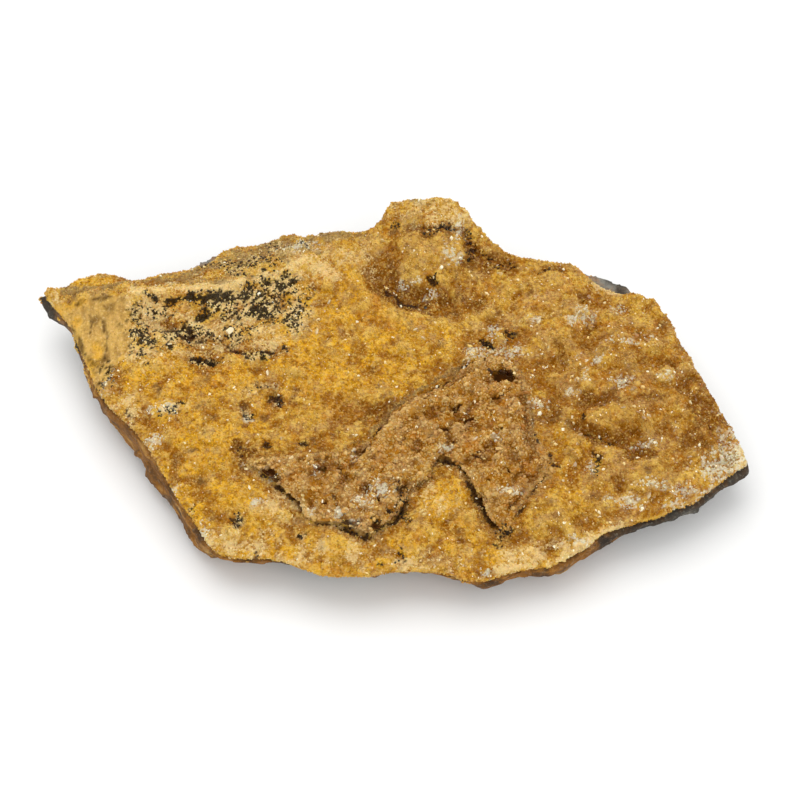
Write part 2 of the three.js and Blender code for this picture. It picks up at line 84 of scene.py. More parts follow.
# Outline of the raised crust.
RAISED_OUTLINE = [
    (-33, -17), (-27, -16), (-20, -15), (-13, -14.5), (-8, -13), (-5, -11.5), (-2.5, -9), (0, -5),
    (3, -1.5), (7, 0.8), (11, 2.5), (14, 5), (16, 7.5), (19, 9.5), (22, 10.5), (26, 9), (29, 6.5),
    (30.5, 2), (31, -3), (31, -8), (32, -12), (34, -16), (34.5, -19), (32.5, -22), (30, -25),
    (27, -29), (25.5, -32.5), (23.5, -34.5), (21.5, -32), (19.5, -28), (17.5, -23.5), (15, -19),
    (12, -16.3), (10, -15.5), (8.5, -18), (8, -21), (5, -22.5), (3, -24.5), (2.5, -27.5),
    (0.5, -30.5), (-2, -32.5), (-5, -35), (-9, -34), (-13, -32.5), (-17, -32.5), (-20, -31),
    (-21, -27.5), (-24, -25), (-27, -22.5), (-30, -19.5),
]

# Edges where the raised crust runs out into the druse without a step.
MERGED_EDGES = [
    (2.6, [(-33, -17), (-27, -15.6), (-20, -15), (-13, -14.5), (-8, -13)]),
    (2.0, [(30.5, 2), (31, -3), (31, -8), (32, -12), (34, -16)]),
    (1.8, [(34.5, -19), (32.5, -22), (30, -25), (27, -29), (25, -33)]),
    (1.4, [(-20, -31), (-17, -32.5), (-13, -32.5)]),
    (1.6, [(7, 0.8), (14, 5), (19, 9.5), (22, 10.5), (26, 9), (29, 6.5)]),
]

# Cracks and undercut seams of the druse and of the raised crust: width, depth and route.
# Their depths are coloured near black, as painted shade.
DRUSE_CRACKS = [
    # below the knob
    (0.7, 0.4, [(-2, 30.6), (-0.9, 28.6), (1.8, 27.2), (5.1, 26.4)]),
    (0.6, 0.8, [(8.2, 31.6), (9.8, 30.8)]),
    # on its front and on its right flank
    (0.5, 0.3, [(8.6, 43.3), (10.7, 43), (13.4, 43.1)]),
    (0.6, 0.3, [(17.8, 40.6), (18.3, 38.8)]),
    (0.9, 0.8, [(21, 15), (22, 13.8)]),
    (0.9, 0.8, [(26, 18.2), (27.4, 17)]),
    # under the edges of the raised crust
    (0.8, 0.6, [
        (10.3, -15.5), (13.1, -16.3), (14.9, -17.7), (16.2, -19.9), (17.5, -23.4), (18.6, -25.6),
    ]),
    (1.2, 0.8, [(18.6, -25.6), (19.7, -26.7), (21, -29.6), (22.3, -31.4)]),
    (0.9, 0.4, [(-25.7, -22.6), (-23.5, -24.2), (-21.5, -25.4), (-20.3, -27.8), (-19.8, -30.1)]),
    (0.4, 0.3, [(-16.7, -32.2), (-14.5, -31.7), (-12.3, -32.6)]),
    (1.0, 0.5, [(-10.8, -33.4), (-8.4, -34.2), (-5.2, -35.2)]),
    (1.0, 0.5, [(-0.4, -31.2), (1.1, -29.2), (2.2, -26.5)]),
    (0.7, 0.5, [(-4.7, -9.3), (-3.1, -7.7), (-1.6, -6.2)]),
    (0.4, 0.3, [(0.7, -4.6), (2.9, -2.1), (7.5, 2), (12, 4.8), (15, 6.4), (17.3, 9.8)]),
    (0.5, 0.4, [(35, -15.4), (35.6, -17.6)]),
    (0.5, 0.4, [(33.6, -20.2), (31.6, -23.2), (30, -25.4)]),
    (0.4, 0.3, [(29.4, -27), (27.4, -29.4)]),
    # small gaps in the left half
    (0.9, 1.0, [(-33.6, -3.2), (-32.8, -4.4)]),
    (1.0, 0.6, [(-27.6, 0.2), (-25.8, -1)]),
    (0.5, 0.5, [(-27.4, -6), (-26.2, -6.6)]),
    (0.8, 0.5, [(-34.4, -12.8), (-33.6, -14.8)]),
    (0.5, 0.4, [(-31.2, -16.8), (-29.6, -17.2)]),
    (0.4, 0.4, [(-20.8, -11.6), (-19.4, -12.2)]),
    (0.4, 0.4, [(-29.8, -12.4), (-28.2, -12)]),
    (0.5, 0.4, [(-35.6, -30), (-34.8, -32)]),
    (0.5, 0.5, [(-30.4, -36.6), (-29.9, -39)]),
    (0.4, 0.3, [(-60.6, -1.4), (-58.8, -4.4)]),
    # steps of the chipped corner
    (0.8, 0.6, [(-44.8, 11.4), (-42.6, 10.4), (-40.2, 10.6)]),
    (0.6, 0.4, [(-39.4, 16.1), (-36.3, 14), (-32.9, 13), (-27.4, 12.8)]),
    (0.9, 0.4, [(-52.6, 19.5), (-50.3, 18.7), (-47.9, 17.7), (-43.4, 16.6)]),
    # right half
    (0.4, 0.4, [(43, -8.2), (46.3, -8.8), (48.9, -10.6)]),
    (0.6, 0.5, [(44.8, -13.8), (46.2, -15)]),
    (0.5, 0.4, [(42.6, -4), (42.4, -6)]),
    (0.5, 0.4, [(34, 34.4), (37.8, 35.1)]),
]
RAISED_CRACKS = [
    (1.4, 2.6, [(23, 5), (24.7, 6), (26.3, 5.2)]),
    (0.8, 0.8, [(-29.3, -18.9), (-27.6, -20), (-25.9, -22.6)]),
    (0.9, 0.8, [(-10.6, -32.4), (-8.1, -32.7)]), (0.8, 0.8, [(-5.6, -33.6), (-3.7, -32.4)]),
    (0.6, 0.6, [(-0.9, -23.8), (1.3, -23.4), (2.9, -22.3)]),
    (0.7, 0.9, [(-12.4, -19.6), (-12, -20.8)]), (0.7, 0.9, [(-10.6, -21.6), (-10.2, -22.8)]),
    (0.5, 0.7, [(-17.3, -20.4), (-16.9, -19.8)]), (0.6, 0.7, [(-12.8, -26.6), (-12.4, -27)]),
    (0.5, 0.6, [(-3.7, -26.4), (-3.3, -26.8)]), (0.5, 0.5, [(-15.4, -27.2), (-14.8, -27.6)]),
    (0.4, 0.5, [(-21, -20.4), (-20.4, -20.8)]), (0.5, 0.6, [(12.9, -3.9), (14.9, -4.3)]),
    (0.5, 0.6, [(16.4, -7.4), (18.2, -7)]), (0.5, 0.6, [(18.3, -15.4), (19.3, -17)]),
    (0.4, 0.5, [(25.4, -19.4), (26.2, -20.2)]), (0.4, 0.5, [(13.4, -12), (13.9, -12.8)]),
    (0.5, 0.5, [(23.8, -0.6), (22.6, -1.2)]), (0.4, 0.4, [(31.6, -9.4), (31.5, -11.5)]),
    (0.5, 0.5, [(9.6, -9.4), (11.4, -9.4)]), (0.4, 0.4, [(20.6, -22.2), (21.8, -22.8)]),
]

# Broad grooves of the druse, coloured brown, partly iron stain and partly painted shade: width, depth and
# route.
GROOVES = [
    (2.2, 0.6, [(-4.4, 33), (-2, 29.6), (1.8, 27.4), (6, 26.6)]),
    (1.2, 0.9, [(5.6, 43.6), (10.7, 42.9), (15, 43), (17.4, 39.6), (20, 37.6), (25.6, 36.6)]),
    (1.6, 0.9, [(41.6, -7), (44.6, -8.4), (48.9, -10.6), (53, -11.6), (57, -14)]),
    (1.2, 0.5, [(44, 0.6), (47.4, -0.4), (52, -0.6), (58, -1.6)]),
]
# The way down through the raised crust, painted dark to its floor as shade: width and route.
HOLES = [(1.2, [(23.2, 5.4), (24.7, 6.5), (26.2, 5.7)])]

# Black manganese staining: solid seams, and patches strewn with black crystals.
MANGANESE_SEAMS = [
    (0.6, [(-52.2, 25.8), (-49.3, 26.5), (-46.4, 27.2)]),
    (1.0, [(-46.4, 27.2), (-43.6, 27.5), (-40.1, 27.4), (-36.7, 27.6), (-33.2, 28.9)]),
    (0.5, [(-57.3, 27.7), (-54.8, 26.6)]),
    (0.9, [(-45.1, 21.6), (-43.5, 23.3), (-42.6, 24)]),
    (0.5, [(-45.6, 11.4), (-43.1, 11), (-40.4, 10.7)]),
]
MANGANESE_SPECKS = [
    (-26.4, 30.4, 5, 2.8, 0.9), (-31.5, 28.6, 4, 2.2, 0.7), (-31.5, 24.8, 4, 2.2, 0.9),
    (-36.5, 24.8, 3.4, 2, 0.8), (-40, 26.6, 6, 1.6, 0.65), (-57.4, 17, 3.2, 1.8, 0.95),
    (-55.6, 11.8, 1.6, 1.6, 0.45), (-47.5, 18.6, 4.8, 1.7, 0.8), (-42.8, 11, 3, 1, 0.65),
    (-23, 22, 3, 4, 0.65), (-50.2, -3.3, 2.2, 0.8, 0.65), (-32, 12.6, 6, 0.9, 0.6),
    (-54, 24, 3, 0.9, 0.65), (-37, 18.8, 5, 2, 0.42), (-51, 14.5, 6, 2, 0.35),
    (-35.5, 36.8, 9, 3, 0.4), (-24, 42.2, 6, 1.6, 0.36), (-58, 23, 2.6, 3, 0.36),
    (10.2, 43.2, 4.6, 1.2, 0.38), (18.2, 39.6, 1.5, 2.8, 0.4), (23.8, 36.8, 3.6, 1, 0.42),
    (8.8, 31.2, 1, 0.9, 0.9), (21.4, 14.5, 1.1, 1, 0.9), (26.5, 17.6, 1, 0.9, 0.9),
    (-0.9, 44.3, 1.6, 1, 0.4), (-65.5, 7.6, 1.6, 3, 0.4), (-43.7, -25.7, 0.9, 0.9, 0.55),
    (-35.2, -31, 0.9, 1.3, 0.55), (44.6, -16, 1.3, 3, 0.4), (2, -25.5, 2.2, 2.6, 0.25),
    (0.4, -40.6, 0.8, 1.6, 0.5), (-3.2, -41, 0.8, 1, 0.4), (-33.6, -3.4, 1.2, 1.4, 0.5),
    (-26.2, -0.6, 1.8, 1.4, 0.3), (25, -35, 1.6, 1.4, 0.4), (-28.8, 2.4, 6, 1.6, 0.2),
    (-8.4, -33.2, 3.4, 1, 0.45), (1, -29.2, 1.2, 2.2, 0.4), (-34.7, -30.3, 1, 1, 0.5),
    (-20.7, -35.1, 0.8, 1, 0.5),
]

# Pale cream places: the torn ledge of the back edge, the front rim and some crests.
CREAM_SEAMS = [
    (1.2, [
        (-61, 27.6), (-57, 28.8), (-51.8, 30), (-44, 30), (-38, 29.8), (-33.2, 32), (-27.5, 34.6),
        (-20.5, 36.6),
    ]),
    (0.8, [(-59, 26.8), (-55, 25.8)]),
    (1.2, [(-80.3, 31.2), (-77.4, 28.2), (-75, 25.6)]),
    (0.7, [(45.9, 32.9), (48.8, 30.2), (53.4, 28.5)]),
    (0.9, [(24, -42.2), (30, -40.8), (35, -40.4), (40, -37.2), (46, -32.6), (51, -30.6)]),
]
CREAM_PATCHES = [
    (77.6, -13.6, 1.3, 2.2), (76.4, -16.4, 1.6, 1), (28.6, -39.4, 4.5, 1.6),
    (10, 48.8, 8, 2.2, 0.6), (13, 46.8, 5, 2.4, 0.8), (-18, 35, 4.5, 2.6), (-29, 16, 3, 1.6),
    (-44.6, 20.3, 2.2, 1.2), (-60.5, 24, 1.6, 1.6, 0.7), (-9.7, -38.6, 2, 1.4, 0.7),
    (38, -36.6, 3, 1.2), (9, -26, 3.5, 2.5, 0.6), (-26, -27.5, 3.5, 2.5, 0.7), (-60, -0.5, 2, 2.4),
    (-12.5, 37.4, 6, 3, 0.6), (-28, 28.4, 5, 2.6, 0.6), (-35, 22.6, 9, 2.6, 0.7),
    (-55, 16.6, 5, 5, 0.6), (-26, 25, 5, 4, 0.5), (-45, 15, 6, 1.6, 0.5), (-36, 28.4, 10, 2.4, 0.7),
    (-50, 22.8, 4, 1.4, 0.5), (-31, 19, 5, 2, 0.7), (-15, -39, 9, 1.6, 0.45),
    (6, -38.6, 5, 1.8, 0.4), (-52, -29, 4, 3, 0.3), (-40, -35.6, 5.4, 2.6, 0.85),
    (-31, -37.2, 7, 2.2, 0.85), (-22, -39.6, 5, 1.4, 0.7), (3, -41.6, 9, 1.2, 0.6),
]

# Whitish grey frosting of later crystals.
FROST_PATCHES = [
    (13.4, 36.4, 1.7, 1.2), (14.9, 43.5, 0.9, 2.6), (1.7, 31.2, 0.9, 0.7), (8.4, 28.8, 0.9, 1),
    (5, 31.5, 1, 0.6), (17.3, 11.8, 1, 1.3), (22.7, 17.6, 1, 1.4), (27.2, 13.2, 1.8, 1.4),
    (32.3, 20.7, 1.5, 0.9), (43.5, 22.2, 1.8, 1.4), (40.9, 20.6, 1, 1), (51.6, 24.8, 1.4, 1.2),
    (53.7, 15.3, 2.8, 0.7), (46, 10.3, 1.1, 1), (42.3, 11, 0.6, 0.6), (52, 4.9, 1.7, 1),
    (43.6, 5.7, 0.9, 1), (61.3, 4.8, 1.5, 0.7), (58.2, 16.8, 0.8, 0.9), (39.6, 2, 1.2, 0.8),
    (33, -1.2, 1.6, 1.2), (57.4, -21.9, 2.6, 0.8), (63, -25.8, 3, 0.9), (73, -16.4, 3, 2.6),
    (75, -11.5, 2, 3.4), (70.4, -18.2, 3, 2), (77.6, -11, 2.4, 4, 0.75), (66, -22.4, 3.4, 1.2, 0.9),
    (-65.6, 7.4, 1.3, 2.6), (-63, 13.2, 1, 1.2), (-54, -9.9, 1.6, 1.1), (-48.6, -22.6, 0.7, 1.1),
    (-42, -33, 0.7, 2.2), (-2.9, -24.2, 2.2, 1.5), (-6.6, -27.4, 1.7, 1.1), (-17, -20.2, 0.9, 0.8),
    (-51.5, -2.3, 3, 1.1), (20.2, -42.6, 1.1, 0.9), (40.8, -35.4, 2.4, 0.6), (-30.5, -26.8, 1.4, 1),
    (-33, -5.4, 0.8, 0.8), (-8.9, -15.9, 0.6, 1.3), (56.8, -10.6, 2, 0.8), (44.2, -17.4, 1, 1.6),
    (-22, 41.5, 3, 1.5), (20.6, 12.4, 2.2, 1.6), (25.6, 12.6, 1.6, 1.2), (11.5, -13.5, 1.6, 0.5),
    (51, -26, 3, 1), (-12.3, -30.1, 1, 0.8), (-7.1, -27.8, 1.2, 1), (-18.1, -29.1, 0.8, 0.8),
    (-27.1, -20.7, 0.8, 1), (23, -11.8, 0.8, 1), (18.3, -12.3, 0.6, 0.6), (26, -24, 1.6, 0.6),
    (-8.4, -32, 0.8, 0.8),
]

# Deep orange-brown iron staining, most of it in hollows. Below the knob, on its lower left flank and on
# the far right slope the patches are partly painted shade.
BROWN_PATCHES = [
    (0.5, 29, 4.5, 2.8), (-4.6, 38, 1.8, 4.4, 0.5), (15, 27.6, 5, 1.6, 0.8), (20.4, 24, 2, 3, 0.7),
    (10.2, 43.1, 5.4, 2.2, 1.5), (18.2, 39.4, 2.2, 3.8, 1.5), (24, 36.9, 4.6, 1.8, 1.3),
    (4.8, 26.4, 6, 1.2, 0.8), (35.8, 34.9, 2.6, 1), (-18.2, 30.6, 3.4, 1.4, 0.7),
    (-4, -3.4, 3, 3.2, 0.6), (44.6, 1, 3, 3, 0.8), (56.5, -0.6, 5, 1.4, 0.7), (45.4, 17.6, 2, 1.6),
    (37.5, 14, 2.6, 2.6, 0.8), (48, -9.8, 6, 1.3), (67, -11, 3, 2.2), (68.6, -18, 2.4, 2.4),
    (58.4, -17.6, 3, 1.6, 0.8), (65, 2, 2, 5, 0.8), (62, 10, 1.6, 4, 0.7), (58, -4, 14, 9, 0.42),
    (67, -8, 8, 9, 0.4), (69, -3, 6, 9, 1.2), (52, 14, 8, 5, 0.35), (46, 4, 9, 8, 0.36),
    (-51.5, 21, 3, 1.4), (-47, 17.6, 5, 1.3), (-38, 14, 7, 1.2, 0.8), (-62.3, 18.4, 1.3, 3.2),
    (-64.4, 25.2, 2.6, 1.4), (-65.2, 23, 1.6, 4, 0.8), (-65.4, 13.6, 1.8, 4, 0.6),
    (-33.6, -13.6, 2, 2, 0.8), (-60, -2.6, 1.4, 1.6), (-34.8, -31, 1.4, 1.4, 0.8),
    (-27.6, 2.4, 8, 1.6, 0.6), (-20, -34.4, 1, 2.4, 0.8), (9, -36, 2, 2.6, 0.6),
    (33.8, -38, 1.4, 1.6, 0.8), (5, -19, 3, 2, 0.7), (36.6, -31, 3, 1.6, 0.7), (18, -7, 4, 2, 0.8),
    (-16, -19, 5, 1.8, 0.8), (-10, -21, 3, 3, 0.8), (21, -13, 3.4, 2, 0.8),
    (-26.4, -0.8, 3, 1.4, 0.8), (36, -4, 2, 4, 0.8), (51, -16, 3, 1.8, 0.7),
    (48.5, -22, 6, 4, 0.45), (-22, 1.6, 1.8, 1.4, 0.7), (-29, -4.6, 1.8, 1.6, 0.6),
    (-18.4, -5, 2.6, 3.6, 0.6), (-34.4, -14, 1.8, 3, 0.8), (-34, -3, 1.2, 5, 0.5),
    (9, 43.2, 2.4, 1.2), (22, 38, 3, 1.4, 0.8), (30, 27, 3.4, 1.2, 0.6), (44, 28.6, 3, 1.2, 0.6),
    (24, 22, 4, 3, 0.5), (-6, 3, 4, 5, 0.3), (-45, 4, 12, 5, 0.35), (12, -30, 2, 1.2, 0.7),
    (14, -38, 5, 2, 0.45),
]

# Zones where the crystals are a deep amber; on the right half and in dips they are partly painted shade.
DEEP_PATCHES = [
    (62, -4, 15, 11), (70, -9, 9, 9, 1.2), (64, 2, 14, 16), (47, 8, 12, 9, 0.85),
    (48, -2, 30, 32, 0.8), (70, 0, 8, 14), (54, 4, 8, 5, 0.8), (55, -20, 12, 5, 0.6),
    (49, -22, 8, 6, 0.6), (12, -23, 5, 5, 0.3), (30, 16, 12, 8, 0.6), (-4, 32, 6, 8, 0.5),
    (22, 38, 8, 4, 0.8), (10, 43.4, 6, 2, 0.8), (36, 34, 8, 3, 0.7), (8, 40, 12, 5, 0.5),
    (-10, -2, 6, 5, 0.5), (-38, 8, 14, 3, 0.35), (-40, 1, 12, 7, 0.5), (36, -26, 8, 5, 0.5),
    (-60, -2, 5, 6, 0.4), (-52, 3, 6, 4, 0.3), (10, 14, 9, 5, 0.35), (30, -28, 5, 5, 0.6),
    (-18, 31, 4, 2, 0.7), (38, -4, 5, 6, 0.7), (8, -36, 4, 4, 0.4), (-15, -21, 8, 3, 0.6),
    (-10, -26, 4, 2, 0.5), (17, -8, 7, 4, 0.6), (24, -17, 4, 6, 0.6), (12, -4, 6, 3, 0.4),
    (-2, -20, 4, 3, 0.3),
]

# Strong yellow zones.
YELLOW_PATCHES = [
    (-45, 3, 18, 9), (-42, -18, 13, 16), (-15, 12, 15, 13), (-15, 26, 10, 7), (13, -28, 7, 8),
    (-25, -38, 16, 5), (24, -39, 8, 4), (42, -14, 7, 6, 0.6), (0, 12, 11, 11), (-54, 8, 10, 5),
    (9, -22, 5, 4), (-2, -38, 8, 4), (-69, 32.5, 8, 2), (40, -24, 6, 4, 0.6), (38, -12, 4, 5, 0.8),
]

# Dull olive-grey weathering of the back edge and along the raised crust; along the crust's upper-left
# step the seam is partly painted shade.
WEATHERED_AND_SHADED_SEAMS = [
    (0.8, [(-77.4, 30.8), (-70.4, 30.8), (-65.2, 30.8), (-62.4, 32)]),
    # Partly painted shade: a grey line along the raised crust's upper-left step.
    (0.5, [(-5.6, -8.6), (-2.6, -5.4), (0.4, -2), (6.6, 3.4), (11, 6.2), (14.6, 8.2), (17, 11)]),
    (0.5, [(29.6, 1), (30.8, -4), (31.4, -9), (32.4, -13)]),
    (0.5, [(-62.4, 33.3), (-54.3, 34.1), (-47.3, 33), (-40.2, 31.2), (-35.5, 30.5)]),
    (0.3, [(-60, 30.4), (-54, 31.6), (-47, 31.4), (-42, 30.4)]),
]
WEATHERED_PATCHES = [
    (-38, 38.2, 10, 4), (-26, 41.6, 8, 3.4), (-50, 35.8, 7, 1.6), (-14, 44, 6, 1.8),
    (6, 49.8, 3, 1.2), (74, -14.4, 3, 4, 0.6),
]

# The smooth fracture face behind the left tip.
FRACTURE_FACE = [
    (-77, 28.6), (-70, 28.4), (-62, 27.2), (-60.4, 21), (-61.4, 14), (-65.4, 8), (-68, 5), (-90, 5),
    (-90, 28.6),
]

# Thin brown layers that show along the torn ledge.
LEDGE_STRATA = [
    (0.25, [(-62, 31.3), (-55.3, 31.3), (-48.4, 32), (-41.4, 32.6), (-35.2, 33.1)]),
    (0.2, [(-66.8, 30.1), (-60.2, 32.6), (-52, 33.2), (-43.9, 34)]),
    (0.25, [(-60, 29.6), (-52, 30.7), (-44, 31), (-38, 31.2)]),
]

# Thin dark cracks of the fracture face, and its yellow zones.
FACE_LINES = [
    (0.25, [(-69.6, 24.6), (-70, 20.4)]), (0.3, [(-74.6, 23), (-71.2, 16.4), (-68.4, 9.6)]),
    (0.25, [(-72.8, 18.6), (-70.6, 14.6), (-67.8, 11.6)]),
    (0.25, [(-66.6, 22.6), (-65.8, 17.4), (-66.4, 13)]),
    (0.35, [(-73.4, 27.6), (-69, 27), (-64.6, 27.2)]), (0.25, [(-64, 21.6), (-62.6, 20)]),
]
FACE_YELLOW = [
    (-76, 28, 3.6, 2.6), (-69.2, 13.6, 1.6, 4.6), (-73.4, 21.6, 1, 4, 0.7),
    (-67, 18.6, 1.2, 2.4, 0.5),
]

# Sides of the slab that iron stained brown, the darker right end and the bleached grey back edges. The
# right end's lower side is partly dark rock and partly painted shade.
STAINED_SIDES = [
    (5.0, [(-66, 1), (-58, -9.6), (-48.7, -23.8), (-40, -36), (-30, -40)]),
    (3.5, [(-73, 14), (-68, 4)]),
    (4.5, [(0, -43), (12, -43), (20, -46), (34, -42), (46, -34)]),
]
BLACK_SIDES = [
    (3.0, [(52, -31), (56, -29), (63, -26), (70, -20), (76, -17), (81, -16)]),
    (1.2, [(45, -34.6), (52, -31)]),
    (3.0, [(75, 2), (79, -6), (81, -12)]),
    (3.0, [(-83, 32), (-80, 24), (-76, 19)]),
    (1.6, [(46, 36), (52, 33), (58, 28)]),
]
BLEACHED_SIDES = [
    (4.5, [(45, 36), (50, 34), (58, 28)]),
    (3.5, [(-50, 38), (-44, 41), (-38, 43)]),
]

# ------------------------------------------------------------------ numbers in space


class LatticeNoise:
    """Smooth noise from -1 to 1 over points in millimetres, the same on every run. Points moved by some
    tens of millimetres get another pattern of the same kind."""

    CELLS = 64
    LAYER_SHIFT = 17.3

    def __init__(self, seed):
        self.table = np.random.default_rng(seed).uniform(-1, 1, (self.CELLS,) * 3)

    def __call__(self, points, size):
        scaled = points / size
        cell = np.floor(scaled).astype(int)
        part = scaled - cell
        part = part * part * (3 - 2 * part)
        total = np.zeros(len(points))
        for corner in itertools.product((0, 1), repeat=3):
            weight = np.prod(np.where(corner, part, 1 - part), axis=1)
            index = (cell + corner) % self.CELLS
            total += weight * self.table[index[:, 0], index[:, 1], index[:, 2]]
        return total

    def layered(self, points, size, layers=3):
        """Noise of the given size with finer noise on it, each layer half as wide and half as strong."""
        return sum(self(points + self.LAYER_SHIFT * k, size / 2**k) / 2**k for k in range(layers))


# Scattered cells repeat after this many in each direction.
CELL_COUNT = 32


def nearest_cells(points, size, seed):
    """The way to each point from the middle of the nearest of scattered cells, and that cell's number."""
    shift = np.random.default_rng(seed).uniform(0, 1, (CELL_COUNT, CELL_COUNT, CELL_COUNT, 3))
    scaled = points / size
    home = np.floor(scaled).astype(int)
    nearest = np.full(len(points), np.inf)
    way = np.zeros_like(points)
    number = np.zeros(len(points), int)
    for step in itertools.product((-1, 0, 1), repeat=3):
        cell = home + step
        i, j, k = (cell % CELL_COUNT).T
        offset = scaled - cell - shift[i, j, k]
        distance = np.linalg.norm(offset, axis=1)
        closer = distance < nearest
        nearest[closer] = distance[closer]
        way[closer] = offset[closer]
        number[closer] = ((i * CELL_COUNT + j) * CELL_COUNT + k)[closer]
    return way, number


def rounded_cells(points, size, seed):
    """Close-packed rounded lumps of the given size: 1 at the middle of each, near 0 in the seams."""
    way, _ = nearest_cells(points, size, seed)
    return np.clip(1 - (way**2).sum(axis=1), 0, 1)


def chips(points, size, seed):
    """Broken facets of the given size: each cell of the stone slopes its own way, up to 1 high."""
    way, number = nearest_cells(points, size, seed)
    slopes = np.random.default_rng(seed + 1).uniform(-1, 1, (CELL_COUNT**3, 3))
    return (way * slopes[number]).sum(axis=1)


def ramp(values, low, high):
    """0 below low, 1 above high, smooth between."""
    part = np.clip((values - low) / (high - low), 0, 1)
    return part * part * (3 - 2 * part)


# Patches and seams fade at this rate: they are half as strong one reach or one width from their middle.
FADE = 0.7


def patches(xy, places):
    """How strongly the points lie in any of the patches."""
    strength = np.zeros(len(xy))
    for x, y, reach_x, reach_y, *most in places:
        distance = ((xy[:, 0] - x) / reach_x) ** 2 + ((xy[:, 1] - y) / reach_y) ** 2
        strength = np.maximum(strength, (most or [1])[0] * np.exp(-FADE * distance))
    return strength


def line_distance(xy, line):
    """How far each point lies from a line through the given places."""
    nearest = np.full(len(xy), np.inf)
    for start, end in zip(line, line[1:]):
        start, end = np.array(start, float), np.array(end, float)
        along = np.clip((xy - start) @ (end - start) / ((end - start) @ (end - start)), 0, 1)
        gap = np.linalg.norm(xy - start - along[:, None] * (end - start), axis=1)
        nearest = np.minimum(nearest, gap)
    return nearest


def seams(xy, routes):
    """How strongly the points lie on any of the seams."""
    strength = np.zeros(len(xy))
    for width, route in routes:
        strength = np.maximum(strength, np.exp(-FADE * (line_distance(xy, route) / width) ** 2))
    return strength


def inside(xy, outline):
    """True for the points within a closed outline."""
    result = np.zeros(len(xy), bool)
    for (ax, ay), (bx, by) in zip(outline, outline[1:] + outline[:1]):
        if ay == by:
            continue
        crosses = (ay > xy[:, 1]) != (by > xy[:, 1])
        result ^= crosses & (xy[:, 0] < (bx - ax) * (xy[:, 1] - ay) / (by - ay) + ax)
    return result


WARP = LatticeNoise(3)
GRAIN = LatticeNoise(5)
BEDDING = LatticeNoise(77)


def warped(points, reach, size=5.0):
    """Plan places moved about a little, so that no patch keeps a smooth edge."""
    shift = np.stack([WARP.layered(points, size, 2), WARP.layered(points + 40, size, 2)], axis=1)
    return points[:, :2] + reach * shift


# ------------------------------------------------------------------ mesh helpers


def object_from(name, mesh):
    """A new object of the scene that shows the mesh."""
    piece = bpy.data.objects.new(name, mesh)
    bpy.context.scene.collection.objects.link(piece)
    return piece


def mesh_from_arrays(name, corners, faces):
    """A flat-faced mesh of triangles from arrays of corners, in plan millimetres, and corner numbers."""
    mesh = bpy.data.meshes.new(name)
    mesh.vertices.add(len(corners))
    mesh.vertices.foreach_set("co", ((corners + PLAN_ORIGIN) * MM).astype(np.float32).ravel())
    mesh.loops.add(faces.size)
    mesh.loops.foreach_set("vertex_index", faces.astype(np.int32).ravel())
    mesh.polygons.add(len(faces))
    mesh.polygons.foreach_set("loop_start", np.arange(0, faces.size, 3, dtype=np.int32))
    mesh.update(calc_edges=True)
    mesh.validate()
    mesh.shade_flat()
    return mesh


def corners_of(mesh):
    """A mesh's corners in plan millimetres."""
    co = np.empty(len(mesh.vertices) * 3, np.float32)
    mesh.vertices.foreach_get("co", co)
    return co.reshape(-1, 3).astype(float) / MM - PLAN_ORIGIN


def set_corners(mesh, corners):
    """Moves a mesh's corners to places in plan millimetres."""
    mesh.vertices.foreach_set("co", ((corners + PLAN_ORIGIN) * MM).astype(np.float32).ravel())
    mesh.update()


def normals_of(mesh):
    """The way each of a mesh's corners faces."""
    normals = np.empty(len(mesh.vertices) * 3, np.float32)
    mesh.vertex_normals.foreach_get("vector", normals)
    return normals.reshape(-1, 3).astype(float)


def set_mask(mesh, name, values):
    """Stores one number per corner, from 0 to 1, for the materials to read."""
    layer = mesh.attributes.new(name, "FLOAT", "POINT")
    layer.data.foreach_set("value", np.clip(values, 0, 1).astype(np.float32))


# How far each turn of relaxing moves a corner to the middle of its neighbours, and away from it again.
PULL_IN = 0.5
PUSH_OUT = -0.52


def relax(mesh, rounds):
    """Smooths facets away without shrinking the form, by turns of pulling in and pushing out."""
    edges = np.empty(len(mesh.edges) * 2, np.int32)
    mesh.edges.foreach_get("vertices", edges)
    a, b = edges.reshape(-1, 2).T
    corners = corners_of(mesh)
    count = np.bincount(np.r_[a, b], minlength=len(corners))[:, None]
    for step in range(2 * rounds):
        total = np.zeros_like(corners)
        for axis in range(3):
            total[:, axis] = np.bincount(a, corners[b, axis], len(corners))
            total[:, axis] += np.bincount(b, corners[a, axis], len(corners))
        pull = PULL_IN if step % 2 == 0 else PUSH_OUT
        corners += pull * (total / count - corners)
    set_corners(mesh, corners)


def fine_copy(node, name, voxel, smoothing):
    """A finely meshed copy of a CAD solid, with its facets smoothed away by rounds of relaxing. The voxel
    is in mm."""
    piece = object_from(name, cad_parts[node].data.copy())
    remesh = piece.modifiers.new("Remesh", "REMESH")
    remesh.mode = "VOXEL"
    remesh.voxel_size = voxel * MM
    evaluated = piece.evaluated_get(bpy.context.evaluated_depsgraph_get())
    mesh = bpy.data.meshes.new_from_object(evaluated)
    piece.modifiers.clear()
    piece.data = mesh
    mesh.name = name
    mesh.materials.clear()
    relax(mesh, smoothing)
    mesh.shade_smooth()
    return piece


def finish_piece(piece, material, node=None):
    """Gives a piece its material and its body, and hides the CAD solid that it stands for, if any."""
    piece.data.materials.clear()
    piece.data.materials.append(material)
    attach(piece, BODY)
    if node:
        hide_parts(node)


# ------------------------------------------------------------------ the finished surfaces


